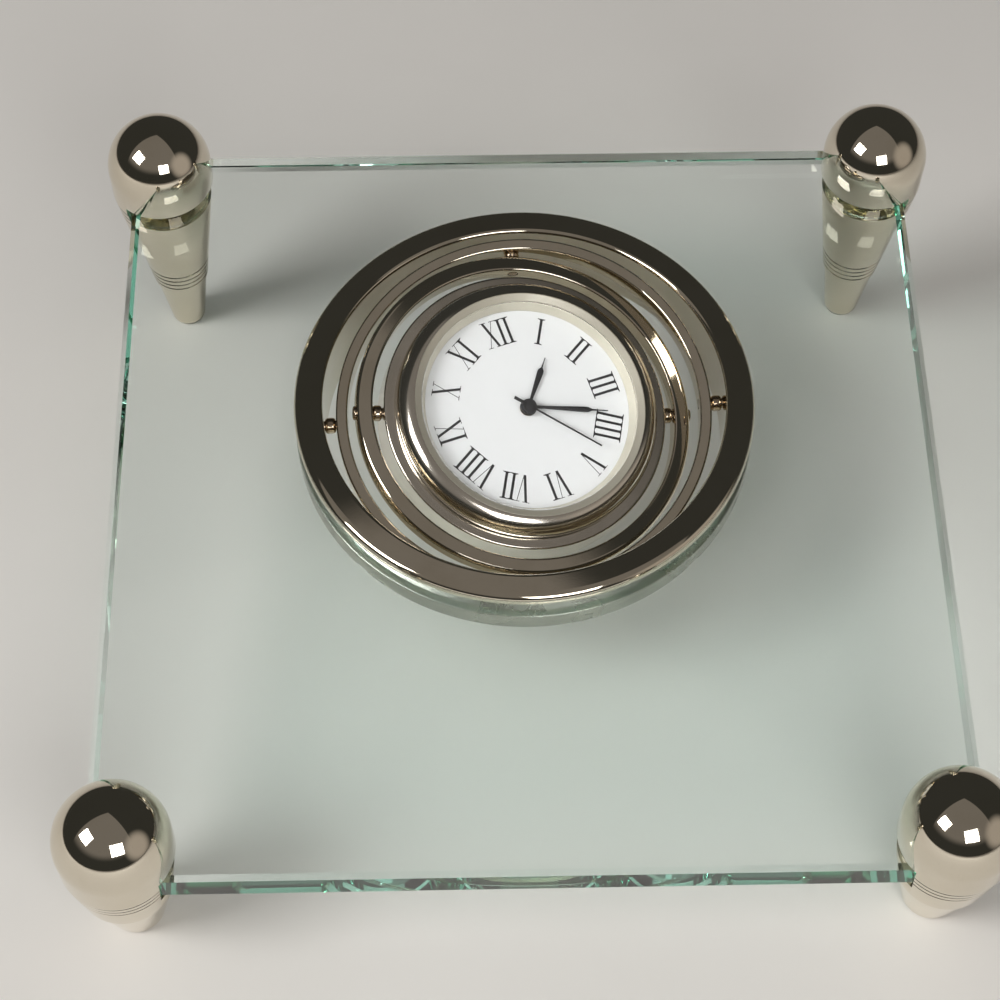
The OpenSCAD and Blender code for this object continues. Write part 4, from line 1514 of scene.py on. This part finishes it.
@dataclass(frozen=True)
class Window:
    """A soft light in one direction from the object."""

    name: str
    towards: Triple
    width: float
    height: float
    radiance: float
    distance: float
    mirrored: bool = True
    colour: Colour = (1.0, 0.995, 0.985)

    def hang(self) -> None:
        """Adds the light, facing the object."""
        lamp = bpy.data.lights.new(self.name, "AREA")
        lamp.shape, lamp.size, lamp.size_y = "RECTANGLE", self.width, self.height
        lamp.energy = self.radiance * math.pi * self.width * self.height
        lamp.color = self.colour
        obj = bpy.data.objects.new(self.name, lamp)
        bpy.context.scene.collection.objects.link(obj)
        way = Vector(self.towards).normalized()
        obj.location = way * self.distance
        obj.rotation_euler = way.to_track_quat("Z", "Y").to_euler()
        obj.visible_glossy = self.mirrored


@dataclass
class Studio:
    """The table, the dim room with its soft lights, and the camera."""

    table: Colour = (0.9, 0.876, 0.84)
    table_shade: Colour = (0.87, 0.846, 0.81)
    table_side: float = 24.0
    table_cloud: float = 9.0
    table_grain: float = 900.0
    windows: Sequence[Window] = (
        Window("left_window", (-0.64, -0.33, 0.69), 0.57, 0.5, radiance=11.4, distance=1.5),
        Window("front_window", (0.2, -0.77, 0.6), 0.24, 0.216, radiance=5.9, distance=0.6),
        Window("ceiling_light", (-0.55, -0.02, 0.83), 0.8, 0.5, radiance=0.45, distance=1.2, mirrored=False),
        Window("top_light", (0.12, -0.22, 0.97), 0.6, 0.5, radiance=0.55, distance=1.2, mirrored=False),
    )
    dark: Colour = (0.036, 0.036, 0.032)
    ceiling: Colour = (0.19, 0.175, 0.16)
    wall: Colour = (0.42, 0.38, 0.34)
    ceiling_edges: Sequence[Triple] = ((0.324, -0.878, 0.353), (-0.621, -0.731, 0.284))
    ceiling_blur: Point = (-0.006, 0.012)
    ceiling_rise: Point = (0.3, 0.55)
    wall_towards: Triple = (0.84, -0.42, 0.34)
    wall_spread: Point = (12.0, 30.0)
    eye: Triple = (-8.48, -173.67, 296.03)
    elevation: float = 60.1
    azimuth: float = -1.47
    roll: float = 0.42
    focal: float = 80.866

    def lay_table(self) -> None:
        """Adds the plain pale table."""
        Bench.clear()
        bpy.ops.mesh.primitive_plane_add(size=self.table_side)
        top = bpy.context.active_object
        top.name = "table_top"
        paint = bpy.data.materials.new("table_paint")
        paint.use_nodes = True
        board = Board(paint.node_tree)
        at = board.place()
        cloud = board.span(board.noise(at, self.table_cloud, 4.0), 0.35, 0.7)
        grain = board.noise(at, self.table_grain, 2.0)
        skin = board.node("ShaderNodeBsdfPrincipled", {}, {
            "Base Color": board.blend(cloud, self.table, self.table_shade), "Roughness": 0.7 + 0.1 * grain,
            "Specular IOR Level": 0.2, "Normal": board.bump(grain, 0.2, 0.00001)})
        board.node("ShaderNodeOutputMaterial", {}, {"Surface": skin})
        top.data.materials.append(paint)

    def light_room(self) -> None:
        """Fills the world with a dim room and hangs the windows."""
        world = bpy.data.worlds.new("room")
        world.use_nodes = True
        bpy.context.scene.world = world
        board = Board(world.node_tree)
        way = board.node("ShaderNodeTexCoord", out="Generated")

        def along(towards: Triple) -> Wire:
            """Gives how far the view points in a direction."""
            return board.node("ShaderNodeVectorMath", {"operation": "DOT_PRODUCT"}, {0: way, 1: towards}, "Value")

        height = board.node("ShaderNodeSeparateXYZ", {}, {0: way}, "Z")
        ceiling = board.span(height, *self.ceiling_rise)
        for edge in self.ceiling_edges:
            ceiling = ceiling * board.span(along(edge), *self.ceiling_blur)
        room = board.blend(ceiling, self.dark, self.ceiling)
        inner, outer = (math.cos(math.radians(a)) for a in self.wall_spread)
        near = board.span(along(tuple(Vector(self.wall_towards).normalized())), outer, inner)
        room = board.blend(near, room, self.wall)
        sky = board.node("ShaderNodeBackground", {}, {"Color": room, "Strength": 1.0})
        board.node("ShaderNodeOutputWorld", {}, {"Surface": sky})
        for window in self.windows:
            window.hang()

    def stand_camera(self) -> None:
        """Sets the camera where the photograph was taken, given from the plate's own frame."""
        e, a, r = (math.radians(v) for v in (self.elevation, self.azimuth, self.roll))
        back = Vector((math.sin(a) * math.cos(e), -math.cos(a) * math.cos(e), math.sin(e)))
        right = Vector((math.cos(a), math.sin(a), 0.0))
        up = back.cross(right)
        right, up = math.cos(r) * right + math.sin(r) * up, math.cos(r) * up - math.sin(r) * right
        pose = Matrix((right, up, back)).transposed().to_4x4()
        pose.translation = Vector(self.eye)
        pose = REST.plate() @ pose
        pose.translation *= MM
        lens = bpy.data.cameras.new("camera")
        lens.sensor_width, lens.lens = 36.0, self.focal
        lens.clip_start, lens.clip_end = 0.01, 100.0
        camera = bpy.data.objects.new("camera", lens)
        bpy.context.scene.collection.objects.link(camera)
        camera.matrix_world = pose
        bpy.context.scene.camera = camera
        bpy.context.scene.view_settings.view_transform = "Standard"
        paths = bpy.context.scene.cycles
        paths.max_bounces = paths.glossy_bounces = paths.transmission_bounces = 32


def sub_assemblies() -> list[Any]:
    """Gives the sub-assemblies in the order in which they are built.

    Returns:
        Objects with a dress method.
    """
    outer = GimbalRing(
        "outer_gimbal_ring", "outer_gimbal", REST.outer(), outer_r=29.5, inner_r=27.7, height=4.2, running_angle=0.0,
        pin=Pin(start=24.25, collar_from=26.9, collar_to=27.6, end=29.5, head=True),
        pins={"inner_pin_front": 270, "inner_pin_back": 90})
    inner = GimbalRing(
        "inner_gimbal_ring", "inner_gimbal", REST.inner(), outer_r=26.8, inner_r=24.25, height=3.2, running_angle=90.0,
        pin=Pin(start=19.9, collar_from=22.7, collar_to=24.15, end=26.8, head=True),
        pins={"clock_pin_left": 180, "clock_pin_right": 0}, outer_edge=0.75)
    stand, clock = [GlassTop(), Posts(), OuterRing()], [ClockCase(), DialFace(), Hands(), SettingKnob(), Movement()]
    return stand + [outer, inner] + clock


def main() -> None:
    """Builds and dresses the clock, lays the stage and notes the sizes."""
    logging.basicConfig(level=logging.INFO, format="%(message)s")
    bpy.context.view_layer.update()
    studio = Studio()
    studio.stand_camera()
    for assembly in sub_assemblies():
        assembly.dress()
    studio.lay_table()
    studio.light_room()
    Bench.clear()


if __name__ == "__main__":
    main()
